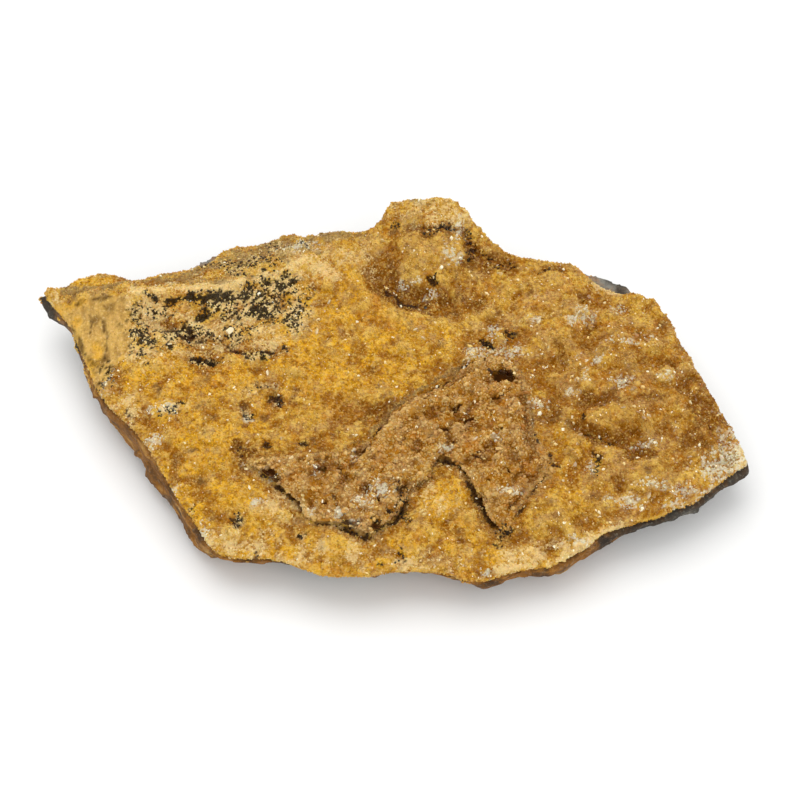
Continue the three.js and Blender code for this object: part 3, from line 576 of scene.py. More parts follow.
class Ground:
    """The finished body of a crust or of the slab, for measuring it and for standing crystals on it."""

    # A height above everything, in mm, from which the way down is measured.
    ABOVE = 60.0
    # In close packing, a place takes up this share of its spacing squared.
    PACKING = 0.87

    def __init__(self, mesh, cracks):
        self.cracks = cracks
        self.corners = corners_of(mesh)
        self.normals = normals_of(mesh)
        quads = [tuple(polygon.vertices) for polygon in mesh.polygons if len(polygon.vertices) == 4]
        self.quads = np.array(quads)
        self.tree = BVHTree.FromPolygons(self.corners.tolist(), quads)

    def height(self, x, y):
        """The height of the upper side at a place of the plan, or nothing beside the body."""
        place = self.tree.ray_cast(Vector((x, y, self.ABOVE)), Vector((0, 0, -1)))[0]
        return place.z if place else None

    def scatter(self, spacing, random, lowest=-0.1):
        """Places spread evenly over the surface, and its normals there, none with a Z below the lowest."""
        a, b, c, d = (self.corners[self.quads[:, k]] for k in range(4))
        area = 0.5 * np.linalg.norm(np.cross(c - a, d - b), axis=1)
        count = area / (self.PACKING * spacing**2) + random.uniform(size=len(area))
        count = np.floor(count).astype(int)
        chosen = np.repeat(np.arange(len(area)), count)
        u, v = random.uniform(size=(2, len(chosen)))
        weights = np.stack([(1 - u) * (1 - v), u * (1 - v), u * v, (1 - u) * v], axis=1)[:, :, None]
        places = (weights * self.corners[self.quads[chosen]]).sum(axis=1)
        normals = unit((weights * self.normals[self.quads[chosen]]).sum(axis=1))
        wanted = normals[:, 2] > lowest
        return places[wanted], normals[wanted]

    def distance(self, point):
        """How far a point lies from the surface, in mm."""
        return self.tree.find_nearest(Vector(point))[3]


class Relief:
    """The heights of the crusts over the plan, and how far each place lies below its surroundings."""

    # The grid's step, its lower left corner and its count of steps.
    STEP = 0.5
    LOW = np.array([-85.0, -50.0])
    SHAPE = (344, 212)
    # Fine dips are 0.5 to 1.8 mm wide, and broad ones 1.2 to 5 mm.
    FINE = (0.5, 1.8)
    BROAD = (1.2, 5.0)
    # A crust covers what lies this far or further below its top, in mm.
    COVER_DEPTH = 0.4

    def __init__(self, *crusts):
        tops = np.zeros((len(crusts), *self.SHAPE))
        for i, j in np.ndindex(self.SHAPE):
            x, y = self.LOW + self.STEP * np.array([i, j])
            tops[:, i, j] = [crust.height(x, y) or 0.0 for crust in crusts]
        self.cover = tops[-1]
        self.heights = tops.max(axis=0)
        self.known = (self.heights > 0).astype(float)
        self.fine_dip = self.dip(*self.FINE)
        self.broad_dip = self.dip(*self.BROAD)

    def dip(self, narrow, wide):
        """How far the ground lies below its surroundings, in hollows from a narrow to a wide reach."""
        return (self.blurred(wide) - self.blurred(narrow)) * self.away_from_rim(wide)

    def spread(self, field, reach):
        """A field of the grid, each cell the mean of its surroundings within the reach in mm."""
        cells = reach / self.STEP
        offsets = np.arange(-math.ceil(3 * cells), math.ceil(3 * cells) + 1)
        kernel = np.exp(-0.5 * (offsets / cells) ** 2)
        for axis in (0, 1):
            field = np.apply_along_axis(np.convolve, axis, field, kernel / kernel.sum(), "same")
        return field

    def blurred(self, reach):
        """The heights spread over the crusts alone."""
        return self.spread(self.heights, reach) / np.maximum(self.spread(self.known, reach), 1e-9)

    def away_from_rim(self, reach):
        """1 inside the crusts, 0 on their rim, where the ground falls away on one side."""
        return ramp(self.spread(self.known, reach), 0.6, 0.95)

    def at(self, field, xy):
        """A field of the grid at places of the plan, blended between the four cells round each of them."""
        # Places stop just short of the last cell, which has none after it to blend with.
        place = np.clip((xy - self.LOW) / self.STEP, 0, np.array(self.SHAPE) - 1.001)
        cell = place.astype(int)
        fx, fy = (place - cell).T
        i, j = cell.T
        lower = field[i, j] * (1 - fx) + field[i + 1, j] * fx
        upper = field[i, j + 1] * (1 - fx) + field[i + 1, j + 1] * fx
        return lower * (1 - fy) + upper * fy

    def covered(self, points):
        """True for the points that the last of the crusts hides."""
        return self.at(self.cover, points[:, :2]) > points[:, 2] + self.COVER_DEPTH

    def dips(self, xy):
        """How far each place lies below its near and its wider surroundings; negative on a crest."""
        near = 1.6 * self.at(self.fine_dip, xy)
        return near, np.clip(near + 0.8 * self.at(self.broad_dip, xy), -0.3, 1.0)


def crack_strength(points, cracks, reach=0.85):
    """How deep in a crack each point lies, from 0 to 1; noise breaks the cracks up along their length."""
    close = warped(points, 0.8, 2.2)
    broken = np.maximum(1.0 + 0.9 * GRAIN.layered(points + 80, 1.8, 2), 0.45)
    return broken * seams(close, [(reach * width, route) for width, _, route in cracks])


def crack_depth(points, cracks):
    """How deep the cracks cut at each point, in mm."""
    close = warped(points, 0.6, 2.2)
    deepest = np.zeros(len(points))
    for width, depth, route in cracks:
        deepest = np.maximum(deepest, depth * seams(close, [(width, route)]))
    return deepest


def staining(points, relief, cracks, own):
    """The masks that colour celestite at each point, by name. Its own number sets each point apart. A
    ramp's two ends are where a stain starts and where it is full; noise breaks up the edge between."""
    near_dips, dips = relief.dips(points[:, :2])
    wide = warped(points, 2.0, 4.0)
    close = warped(points, 0.7, 1.8)
    outline = [(1.3, RAISED_OUTLINE + RAISED_OUTLINE[:1])]
    speckle = GRAIN.layered(points, 0.9, 2) + own
    flecks = 0.55 * GRAIN.layered(points, 0.6, 2) + 1.2 * own
    blotch = 1.4 * GRAIN.layered(points + 60, 2.2, 3) + 0.3 * own
    patchy = GRAIN.layered(points + 60, 6, 3)
    specks = patches(wide, MANGANESE_SPECKS)
    black = np.maximum(specks, 1.3 * seams(close, MANGANESE_SEAMS))
    cream = np.maximum(seams(wide, CREAM_SEAMS), patches(wide, CREAM_PATCHES))
    # Round the black crystals of the left half, the druse is cream.
    corner = ramp(points[:, 0], 0, -12)
    creamy = np.maximum(cream + 0.6 * flecks, 1.1 * corner * specks - 0.6 * flecks)
    cream_zone = np.maximum(cream, corner * specks)
    frost = patches(close, FROST_PATCHES)
    crack = crack_strength(points, cracks)
    beside_crack = crack_strength(points, cracks, 2.4)
    groove = seams(wide, [(width, route) for width, _, route in GROOVES])
    rust = np.maximum(patches(wide, BROWN_PATCHES), 1.2 * groove)
    hole = ramp(seams(close, HOLES), 0.35, 0.55)
    yellow = patches(wide, YELLOW_PATCHES)
    weathered_and_shaded = np.maximum(seams(close, WEATHERED_AND_SHADED_SEAMS), patches(wide, WEATHERED_PATCHES))
    return {
        "manganese": ramp(flecks + black, 0.5, 0.6) * ramp(black, 0.12, 0.2),
        "cream": ramp(creamy + 0.3 * blotch, 0.35, 0.85) * ramp(cream_zone, 0, 0.15),
        "frost": ramp(frost + 0.25 * blotch + 1.3 * flecks, 0.5, 1.1) * ramp(frost, 0.05, 0.2),
        "skirt": ramp(seams(close, outline) + 0.5 * blotch + 0.3 * flecks, 0.5, 1.0),
        # Iron stain, stronger in grooves and dips, where it is partly painted shade.
        "brown": ramp(rust + 0.45 * blotch + 0.4 * dips, 0.45, 0.95),
        # Partly painted shade: deep amber is stronger in dips and on the darker right half.
        "deep": ramp(patches(wide, DEEP_PATCHES) + 0.55 * blotch + 0.25 * patchy + 0.4 * dips, 0.2, 0.8),
        "yellow": ramp(yellow + 0.4 * patchy + 0.15 * blotch, 0.15, 0.8),
        "weathered_and_shaded": ramp(weathered_and_shaded + 0.3 * blotch + 0.25 * speckle, 0.3, 0.8),
        # Partly iron stain and partly painted shade: places below their surroundings and beside cracks are
        # coloured darker.
        "hollow_stain_and_shade": ramp(dips + 0.3 * blotch + 0.6 * beside_crack, 0.1, 0.5),
        # Partly less iron stain and partly painted light: crests above their near surroundings are
        # coloured paler.
        "crest": ramp(-near_dips + 0.3 * blotch, 0.1, 0.6),
        "dusty": ramp(1.2 * GRAIN.layered(points + 90, 2.6, 3) + 0.3 * own - 0.5 * yellow, 0.1, 0.6),
        "rusty": ramp(1.2 * GRAIN.layered(points + 120, 3.4, 3) + 0.3 * own - 0.3 * yellow, 0.25, 0.8),
        "strata": ramp(seams(close, LEDGE_STRATA) + 0.4 * blotch, 0.4, 0.8),
        # Painted shade: the depths of cracks and undercut seams, and the hole, are coloured near black.
        "crack": np.maximum(ramp(crack + 0.35 * flecks, 0.4, 0.75) * ramp(crack, 0.1, 0.3), hole),
        "fracture": inside(warped(points, 1.6, 3.5), FRACTURE_FACE).astype(float),
        "face_line": seams(close, FACE_LINES),
        "face_yellow": ramp(patches(wide, FACE_YELLOW) + 0.3 * blotch, 0.3, 0.9),
    }


def set_staining(mesh, points, relief, cracks, own):
    """Stores the staining of a mesh's corners."""
    for name, values in staining(points, relief, cracks, own).items():
        set_mask(mesh, name, values)


# ------------------------------------------------------------------ crystals

# The forms of the crystals, of unit size, with their roots below the surface: corners and triangles. The
# sugary grains are double pyramids.
GRAIN_FORM = (
    np.array([(0, 0, 1.0), (1, 0, 0.1), (0, 0.8, 0.1), (-1, 0, 0.1), (0, -0.8, 0.1), (0, 0, -0.9)]),
    np.array([(0, 1, 2), (0, 2, 3), (0, 3, 4), (0, 4, 1), (5, 2, 1), (5, 3, 2), (5, 4, 3), (5, 1, 4)]),
)


def prism_form(outline, shoulder, tip):
    """A prism on a flat outline, with its root at -1 and its upper end closed by faces up to one tip."""
    count = len(outline)
    low = [(x, y, -1.0) for x, y in outline]
    high = [(x, y, shoulder) for x, y in outline]
    corners = np.array([*low, *high, tip, (0, 0, -1.0)], float)
    faces = []
    for i in range(count):
        j = (i + 1) % count
        faces += [(i, j, count + j), (i, count + j, count + i)]
        faces += [(count + i, count + j, 2 * count), (j, i, 2 * count + 1)]
    return corners, np.array(faces)


STOUT_OUTLINE = [(1, 0), (0.3, 0.8), (-0.8, 0.6), (-0.9, -0.5), (0.2, -0.9)]
BLADE_OUTLINE = [(1, 0), (0.7, 0.4), (-0.7, 0.4), (-1, 0), (-0.7, -0.4), (0.7, -0.4)]
STOUT_FORM = prism_form(STOUT_OUTLINE, 0.35, (0.1, 0, 1))
BLADE_FORM = prism_form(BLADE_OUTLINE, 0.55, (0.2, 0, 1))


def unit(vectors):
    """The vectors with their lengths made 1."""
    return vectors / np.linalg.norm(vectors, axis=1, keepdims=True)


def crystal_sizes(widths, flattest, heights, random):
    """Half sizes of crystals, each as deep as it is wide or flatter, down to the given share."""
    depths = widths * random.uniform(flattest, 1, len(widths))
    return np.stack([widths, depths, heights], axis=1)


def crystal_mesh(name, form, places, normals, sizes, lean, random):
    """Crystals of one form at each place, standing off the surface with a random lean and turn."""
    count = len(places)
    up = unit(normals + lean * random.normal(size=(count, 3)))
    side = unit(np.cross(up, random.normal(size=(count, 3))))
    across = np.cross(up, side)
    axes = np.stack([side, across, up], axis=2)
    corners, faces = form
    stood = np.einsum("nij,nkj->nki", axes, corners[None] * sizes[:, None, :]) + places[:, None, :]
    numbers = faces[None] + len(corners) * np.arange(count)[:, None, None]
    return mesh_from_arrays(name, stood.reshape(-1, 3), numbers.reshape(-1, 3))


def grow(name, form, places, normals, sizes, lean, random, cracks, material):
    """One piece of crystals, each with its own shade and the staining of its place."""
    mesh = crystal_mesh(name, form, places, normals, sizes, lean, random)
    masks = staining(places, grown["relief"], cracks, 0.35 * random.normal(size=len(places)))
    masks["shade"], masks["tint"] = random.uniform(size=(2, len(places)))
    for mask_name, values in masks.items():
        set_mask(mesh, mask_name, np.repeat(values, len(form[0])))
    finish_piece(object_from(name, mesh), material)


# ------------------------------------------------------------------ material helpers


def linear(value):
    """The linear colour of an sRGB hex value such as 'B88B44'."""
    channels = [int(value[i : i + 2], 16) / 255 for i in (0, 2, 4)]
    return [c / 12.92 if c <= 0.04045 else ((c + 0.055) / 1.055) ** 2.4 for c in channels] + [1.0]


def new_material(name):
    """An empty node material."""
    material = bpy.data.materials.new(name)
    material.use_nodes = True
    material.node_tree.nodes.clear()
    return material


def add(tree, kind, settings=None, links=None):
    """Adds a node: settings are its properties and inputs, links its inputs joined to other outputs."""
    node = tree.nodes.new(kind)
    for key, value in (settings or {}).items():
        if isinstance(key, str) and hasattr(node, key):
            setattr(node, key, value)
        else:
            node.inputs[key].default_value = value
    for key, source in (links or {}).items():
        tree.links.new(source, node.inputs[key])
    return node


def mask(tree, name, most=1.0):
    """A stored mask, scaled to at most the given strength."""
    stored = add(tree, "ShaderNodeAttribute", {"attribute_name": name}).outputs["Fac"]
    return fit(tree, stored, 0, 1, 0, most)


# The Mix node has several sockets of the same names: these are the numbers of those that mix colours.
MIX_FACTOR, MIX_UNDER, MIX_OVER, MIX_COLOUR = 0, 6, 7, 2


def blend(tree, factor, under, over):
    """Mixes two colours, each a colour setting or an output, by a factor output."""
    node = add(tree, "ShaderNodeMix", {"data_type": "RGBA"}, {MIX_FACTOR: factor})
    for key, value in ((MIX_UNDER, under), (MIX_OVER, over)):
        if isinstance(value, bpy.types.NodeSocket):
            tree.links.new(value, node.inputs[key])
        else:
            node.inputs[key].default_value = value
    return node.outputs[MIX_COLOUR]


def fit(tree, value, low, high, to_low=0.0, to_high=1.0):
    """Maps a value from one range to another, clamped. A range may run downwards."""
    settings = {"From Min": low, "From Max": high, "To Min": to_low, "To Max": to_high}
    return add(tree, "ShaderNodeMapRange", settings, {"Value": value}).outputs["Result"]


def bumps(tree, height, strength, depth):
    """The shading normal of a surface with bumps of the given depth in mm."""
    settings = {"Strength": strength, "Distance": depth * MM}
    return add(tree, "ShaderNodeBump", settings, {"Height": height}).outputs["Normal"]


def noise_texture(tree, size, detail=3.0, roughness=0.6, offset=0.0, stretch=(1, 1, 1), turn=0.0):
    """Noise with features of the given size in mm, in the object's own frame. The offset gives another
    pattern, a stretch below 1 draws it out along that axis, and the turn is in degrees about Z."""
    place = add(tree, "ShaderNodeTexCoord").outputs["Object"]
    settings = {"Location": (offset,) * 3, "Rotation": (0, 0, math.radians(turn)), "Scale": stretch}
    moved = add(tree, "ShaderNodeMapping", settings, {"Vector": place}).outputs[0]
    settings = {"Scale": 1 / (size * MM), "Detail": detail, "Roughness": roughness}
    return add(tree, "ShaderNodeTexNoise", settings, {"Vector": moved}).outputs["Fac"]


def output(tree, shader):
    """Joins a shader to the material's output."""
    add(tree, "ShaderNodeOutputMaterial", {}, {"Surface": shader})


# ------------------------------------------------------------------ materials


# Indices of refraction: celestite's is 1.62, and calcite, which limestone is made of, has 1.49 to 1.66.
CELESTITE_IOR = 1.62
LIMESTONE_IOR = 1.55


def celestite(name, colours, main, strong, pale, dark, facets):
    """Celestite, grown in open space and stained by iron: small glassy faces over a cloudy body that
    scatters light, so that the crystals look lit from inside. Facets are for the crystals, each with its
    own shade and tint; the body below them is dull and has none."""
    material = new_material(name)
    tree = material.node_tree
    # Clouds as wide as the crust's lumps, mottling two crystals wide, and the crystals' own 0.9 mm.
    cloud = noise_texture(tree, 5.0, detail=4.0)
    mottle = noise_texture(tree, 1.8, offset=2.3)
    sugar = noise_texture(tree, 0.9, detail=2.0, offset=0.3)
    # Each colour lies over those before it: first zones and mottling, then each crystal's own shade, and
    # last the stains, with the painted shade of cracks and the black manganese on top.
    colour = blend(tree, mask(tree, "yellow"), main, strong)
    colour = blend(tree, fit(tree, cloud, 0.42, 0.62, 0, 0.6), colour, colours.deep_honey)
    # Deep amber zones, partly painted shade.
    colour = blend(tree, mask(tree, "deep", 0.75), colour, colours.amber)
    colour = blend(tree, mask(tree, "rusty", 0.55), colour, colours.orange)
    colour = blend(tree, fit(tree, mottle, 0.52, 0.66, 0, 0.75), colour, colours.amber)
    # Crests paler: partly less stain, partly painted light.
    colour = blend(tree, mask(tree, "crest", 0.5), colour, pale)
    colour = blend(tree, mask(tree, "dusty", 0.5), colour, colours.ash)
    # Hollows and crack sides darker: partly iron stain, partly painted shade.
    colour = blend(tree, mask(tree, "hollow_stain_and_shade", 0.82), colour, dark)
    colour = blend(tree, fit(tree, mottle, 0.47, 0.34, 0, 0.55), colour, pale)
    colour = blend(tree, mask(tree, "weathered_and_shaded", 0.7), colour, colours.weathered_and_shaded)
    colour = blend(tree, mask(tree, "skirt", 0.4), colour, colours.raised_pale)
    # Iron stain, partly painted shade in grooves and dips.
    colour = blend(tree, mask(tree, "brown", 0.85), colour, colours.brown)
    colour = blend(tree, fit(tree, sugar, 0.53, 0.68, 0, 0.5), colour, pale)
    colour = blend(tree, fit(tree, sugar, 0.46, 0.32, 0, 0.55), colour, colours.brown)
    if facets:
        shade, tint = mask(tree, "shade"), mask(tree, "tint")
        colour = blend(tree, fit(tree, shade, 0.7, 1.0, 0, 0.7), colour, pale)
        colour = blend(tree, fit(tree, shade, 0.3, 0.0, 0, 0.33), colour, colours.brown)
        colour = blend(tree, fit(tree, tint, 0.7, 1.0, 0, 0.4), colour, colours.orange)
        colour = blend(tree, fit(tree, tint, 0.3, 0.0, 0, 0.4), colour, colours.ash)
    # Partly painted shade: the deep zones are glazed with amber once more.
    colour = blend(tree, mask(tree, "deep", 0.25), colour, colours.amber)
    colour = blend(tree, mask(tree, "weathered_and_shaded", 0.3), colour, colours.weathered_and_shaded)
    colour = blend(tree, mask(tree, "cream", 0.85), colour, colours.cream)
    colour = blend(tree, mask(tree, "strata", 0.6), colour, colours.tan_brown)
    colour = blend(tree, mask(tree, "frost", 0.75), colour, colours.frost)
    colour = blend(tree, mask(tree, "fracture"), colour, fracture_bands(tree, colours))
    # Painted shade in the depths of cracks, seams and the hole.
    colour = blend(tree, mask(tree, "crack", 0.9), colour, colours.crack)
    colour = blend(tree, mask(tree, "manganese", 0.95), colour, colours.manganese)
    crack_shade_and_oxide = {0: mask(tree, "crack"), 1: mask(tree, "manganese")}
    crack_shade_and_oxide_strength = add(tree, "ShaderNodeMath", {"operation": "MAXIMUM"}, crack_shade_and_oxide).outputs[0]
    # Clean faces are glassy; the painted crack shade, the manganese and the body below the crystals are
    # dull.
    dullness = fit(tree, crack_shade_and_oxide_strength, 0, 1, 0.15, 0.6) if facets else fit(tree, crack_shade_and_oxide_strength, 0, 1, 0.8, 0.9)
    settings = {
        "IOR": CELESTITE_IOR,
        "Specular IOR Level": 0.18 if facets else 0.05,
        "Subsurface Weight": 0.35,
        "Subsurface Radius": (1.0, 0.6, 0.15),
        "Subsurface Scale": 0.6 * MM,
    }
    faces = bumps(tree, sugar, strength=0.5, depth=0.2)
    links = {"Base Color": colour, "Normal": faces, "Roughness": dullness}
    shader = add(tree, "ShaderNodeBsdfPrincipled", settings, links)
    output(tree, shader.outputs[0])
    return material


def honey_celestite(name, colours, facets):
    """The druse's celestite."""
    honey, yellow, pale, amber = colours.honey, colours.yellow, colours.pale_honey, colours.amber
    return celestite(name, colours, honey, yellow, pale, amber, facets)


def pale_celestite(colours):
    """Milky, nearly colourless celestite, the last to grow: its glassy faces flash white. Its near-white
    colour is partly a painted highlight: it makes the white specks of glints.
    """
    material = new_material("Pale celestite")
    tree = material.node_tree
    shade = mask(tree, "shade")
    colour = blend(tree, fit(tree, shade, 0.1, 0.8), colours.pale_honey, colours.milky_and_glint_white)
    settings = {
        "Roughness": 0.08,
        "IOR": CELESTITE_IOR,
        "Specular IOR Level": 0.6,
        "Subsurface Weight": 0.3,
        "Subsurface Radius": (1.0, 0.8, 0.5),
        "Subsurface Scale": 0.4 * MM,
    }
    shader = add(tree, "ShaderNodeBsdfPrincipled", settings, {"Base Color": colour})
    output(tree, shader.outputs[0])
    return material


def fracture_bands(tree, colours):
    """The smooth fracture face: tan layers 2 to 4 mm apart, with grains, stains and fine cracks."""
    bands = noise_texture(tree, 2.6, detail=4.0, offset=0.4, stretch=(1, 0.22, 1), turn=30)
    cloud = noise_texture(tree, 6.0, detail=4.0, offset=0.7)
    grains = noise_texture(tree, 0.7, roughness=0.7, offset=1.1)
    colour = blend(tree, fit(tree, bands, 0.48, 0.6, 0, 0.85), colours.tan, colours.tan_band)
    colour = blend(tree, fit(tree, cloud, 0.5, 0.65, 0, 0.6), colour, colours.tan_light)
    colour = blend(tree, mask(tree, "face_yellow", 0.9), colour, colours.face_yellow)
    colour = blend(tree, mask(tree, "brown", 0.8), colour, colours.tan_brown)
    colour = blend(tree, mask(tree, "weathered_and_shaded", 0.7), colour, colours.tan_brown)
    colour = blend(tree, fit(tree, grains, 0.54, 0.7, 0, 0.6), colour, colours.tan_brown)
    colour = blend(tree, fit(tree, grains, 0.45, 0.3, 0, 0.6), colour, colours.cream)
    return blend(tree, mask(tree, "face_line", 0.8), colour, colours.crack)


def dark_limestone(colours):
    """Fine-grained limestone, broken and never polished: dull, with calcite grains and veins that catch
    the light, and iron stains near the crystals."""
    material = new_material("Dark limestone")
    tree = material.node_tree
    cloud = noise_texture(tree, 12.0, detail=5.0, roughness=0.65)
    patchy = noise_texture(tree, 3.5, detail=5.0, roughness=0.7, offset=0.6)
    # The real grains are finer than 0.2 mm; these are as coarse as they need to be to show.
    grain = noise_texture(tree, 0.7, roughness=0.75, offset=0.2)
    colour = blend(tree, fit(tree, cloud, 0.4, 0.6), colours.rock, colours.rock_light)
    colour = blend(tree, fit(tree, patchy, 0.52, 0.62, 0, 0.5), colour, colours.rock_dark)
    colour = blend(tree, fit(tree, patchy, 0.46, 0.36, 0, 0.45), colour, colours.rock_bleached)
    colour = blend(tree, calcite_veins(tree), colour, colours.rock_grain)
    colour = blend(tree, fit(tree, grain, 0.53, 0.68, 0, 0.3), colour, colours.rock_grain)
    rust = blend(tree, fit(tree, patchy, 0.42, 0.56), colours.rock_light, colours.stain)
    colour = blend(tree, mask(tree, "rim", 0.75), colour, rust)
    colour = blend(tree, mask(tree, "stain", 0.95), colour, stained_side(tree, colours, patchy))
    colour = blend(tree, mask(tree, "bleached", 0.45), colour, colours.rock_bleached)
    # Darker sides: partly dark rock, partly painted shade on the lower right side.
    colour = blend(tree, mask(tree, "black", 0.85), colour, colours.rock_dark)
    colour = blend(tree, fit(tree, grain, 0.55, 0.68, 0, 0.25), colour, colours.rock_grain)
    colour = blend(tree, fit(tree, grain, 0.46, 0.3, 0, 0.5), colour, colours.rock_dark)
    settings = {"Roughness": 0.8, "IOR": LIMESTONE_IOR, "Specular IOR Level": 0.25}
    links = {"Base Color": colour, "Normal": bumps(tree, grain, strength=0.9, depth=0.6)}
    shader = add(tree, "ShaderNodeBsdfPrincipled", settings, links)
    output(tree, shader.outputs[0])
    return material


def calcite_veins(tree):
    """Thin pale veins of calcite, a few centimetres apart, where slow noise crosses its middle."""
    slow = noise_texture(tree, 30.0, detail=2.0, roughness=0.5, offset=4.1, stretch=(1, 1.6, 1))
    off_middle = add(tree, "ShaderNodeMath", {"operation": "SUBTRACT", 1: 0.5}, {0: slow}).outputs[0]
    distance = add(tree, "ShaderNodeMath", {"operation": "ABSOLUTE"}, {0: off_middle}).outputs[0]
    return fit(tree, distance, 0.0, 0.008, 0.35, 0)


def stained_side(tree, colours, patchy):
    """Brown iron staining in level layers, darker in the pits that the patchy noise picks out."""
    layers = noise_texture(tree, 2.4, detail=5.0, roughness=0.65, offset=1.7, stretch=(0.3, 0.3, 1))
    colour = blend(tree, fit(tree, layers, 0.38, 0.58), colours.stain_dark, colours.stain)
    colour = blend(tree, fit(tree, layers, 0.55, 0.7, 0, 0.8), colour, colours.tan)
    return blend(tree, fit(tree, patchy, 0.5, 0.62, 0, 0.7), colour, colours.rock_dark)


def white_paper(colours):
    """Matt white paper, uncoated: no shine, and very faintly cloudy."""
    material = new_material("White paper")
    tree = material.node_tree
    # Paper is cloudy at a few millimetres; 60 mm is as coarse as it needs to be to show.
    fibre = noise_texture(tree, 60.0, detail=2.0)
    colour = blend(tree, fit(tree, fibre, 0.4, 0.6, 0, 0.1), colours.paper, colours.paper_fibre)
    shader = add(tree, "ShaderNodeBsdfPrincipled", {"Roughness": 0.9}, {"Base Color": colour})
    output(tree, shader.outputs[0])
    return material


# ------------------------------------------------------------------ settings


def colour_property(name, description, value):
    """A colour setting with an sRGB hex value as its default."""
    return FloatVectorProperty(
        name=name, description=description, subtype="COLOR", size=4, min=0, max=1, default=linear(value)
    )


class SpecimenColours(bpy.types.PropertyGroup):
    """Colours of the minerals and of the floor."""

    honey: colour_property("Honey", "Main colour of the druse", "CEA03A")
    yellow: colour_property("Yellow", "Strong yellow zones", "E2AB24")
    deep_honey: colour_property("Deep honey", "Darker cloudy zones", "B07A1C")
    # Pale honey also colours the druse's crests, where it is partly painted light.
    pale_honey: colour_property("Pale honey", "Crests and light crystals", "E6C066")
    # Amber also colours the druse's hollows, where it is partly painted shade.
    amber: colour_property("Amber", "Hollows between the lumps", "9A6006")
    # Brown also colours the raised crust's hollows, where it is partly painted shade.
    brown: colour_property("Brown", "Iron-stained hollows", "6A3A02")
    # The crack colour is painted shade in the depths of cracks, seams and the hole.
    crack: colour_property("Crack", "Depths of cracks and seams", "2C0F00")
    cream: colour_property("Cream", "Pale ledges and edges", "EACB8C")
    frost: colour_property("Frost", "Whitish later crystals", "E2DABF")
    manganese: colour_property("Manganese", "Black oxide staining", "170A00")
    # Also the painted shade along the raised crust's upper-left step.
    weathered_and_shaded: colour_property("Weathered", "Dull back edge", "927B4E")
    orange: colour_property("Orange", "Crystals coloured by rust", "C27A22")
    ash: colour_property("Ash", "Dusty pinkish crystals", "C09C68")
    # Partly a painted highlight: this near-white colour makes the pale crystals read as glints.
    milky_and_glint_white: colour_property("Milky", "Pale crystals that flash", "FFF2CE")
    raised: colour_property("Raised crust", "Main colour of the raised crust", "C09142")
    # This colour also lightens the raised crust's crests, where it is partly painted light.
    raised_pale: colour_property("Pale raised crust", "Its crests", "E0BC78")
    tan: colour_property("Tan", "Fracture face", "CDA45A")
    tan_band: colour_property("Tan band", "Darker bands of the fracture face", "AD8644")
    tan_light: colour_property("Light tan", "Lighter clouds of the fracture face", "D6AE56")
    face_yellow: colour_property("Face yellow", "Yellow zones of the fracture face", "DDA93C")
    tan_brown: colour_property("Tan brown", "Stains of the fracture face", "80602E")
    rock: colour_property("Rock", "Dark limestone", "585247")
    rock_light: colour_property("Light rock", "Lighter limestone", "7A7467")
    rock_bleached: colour_property("Bleached rock", "Grey rock of the back edge", "90918A")
    rock_grain: colour_property("Rock grain", "Grains of calcite", "ADA794")
    rock_dark: colour_property("Dark rock", "Pores in the limestone", "2B2620")
    stain: colour_property("Stain", "Brown staining of the sides", "A26A1E")
    stain_dark: colour_property("Dark stain", "Darker layers of the stained sides", "6A4210")
    paper: colour_property("Paper", "Floor", "F6F6F5")
    paper_fibre: colour_property("Paper fibre", "Faint cloudiness of the floor", "DCDCDA")


def size_property(name, description, value):
    """A size setting in millimetres."""
    return FloatProperty(name=name, description=description + ", mm", default=value, min=0.1)


class SpecimenShape(bpy.types.PropertyGroup):
    """Fineness of the meshes and closeness of the crystals."""

    crust_voxel: size_property("Crust mesh", "Mesh size of the druse", 0.75)
    raised_voxel: size_property("Raised mesh", "Mesh size of the raised crust", 0.45)
    rock_voxel: size_property("Rock mesh", "Mesh size of the slab", 0.62)
    grain_spacing: size_property("Grain spacing", "Between druse crystals", 0.55)
    raised_spacing: size_property("Raised spacing", "Between raised crystals", 0.6)
    blade_spacing: size_property("Blade spacing", "Between places for bladed crystals", 2.4)
    pale_spacing: size_property("Pale spacing", "Between places for pale crystals", 0.95)


class StudioSettings(bpy.types.PropertyGroup):
    """Camera and light."""

    elevation: FloatProperty(
        name="Elevation", description="Camera above the horizon", default=math.radians(55),
        subtype="ANGLE",
    )
    distance: FloatProperty(name="Distance", description="Camera to specimen", default=0.7, unit="LENGTH")
    view_width: FloatProperty(
        name="View width", description="Width seen at the specimen", default=0.1808, unit="LENGTH"
    )
    target: FloatVectorProperty(
        name="Target", description="Looked-at point in plan mm", default=(1.36, 0.0, 15.0)
    )
    key_light: FloatProperty(name="Key light", description="Power", default=4.4, unit="POWER")
    fill_light: FloatProperty(name="Fill light", description="Power", default=1.9, unit="POWER")
    sky: FloatProperty(name="Sky", description="Brightness of the surroundings", default=0.85)


# ------------------------------------------------------------------ operators

# The finished surfaces by name, and the relief of the crusts, which later operators stand crystals on.
grown = {}


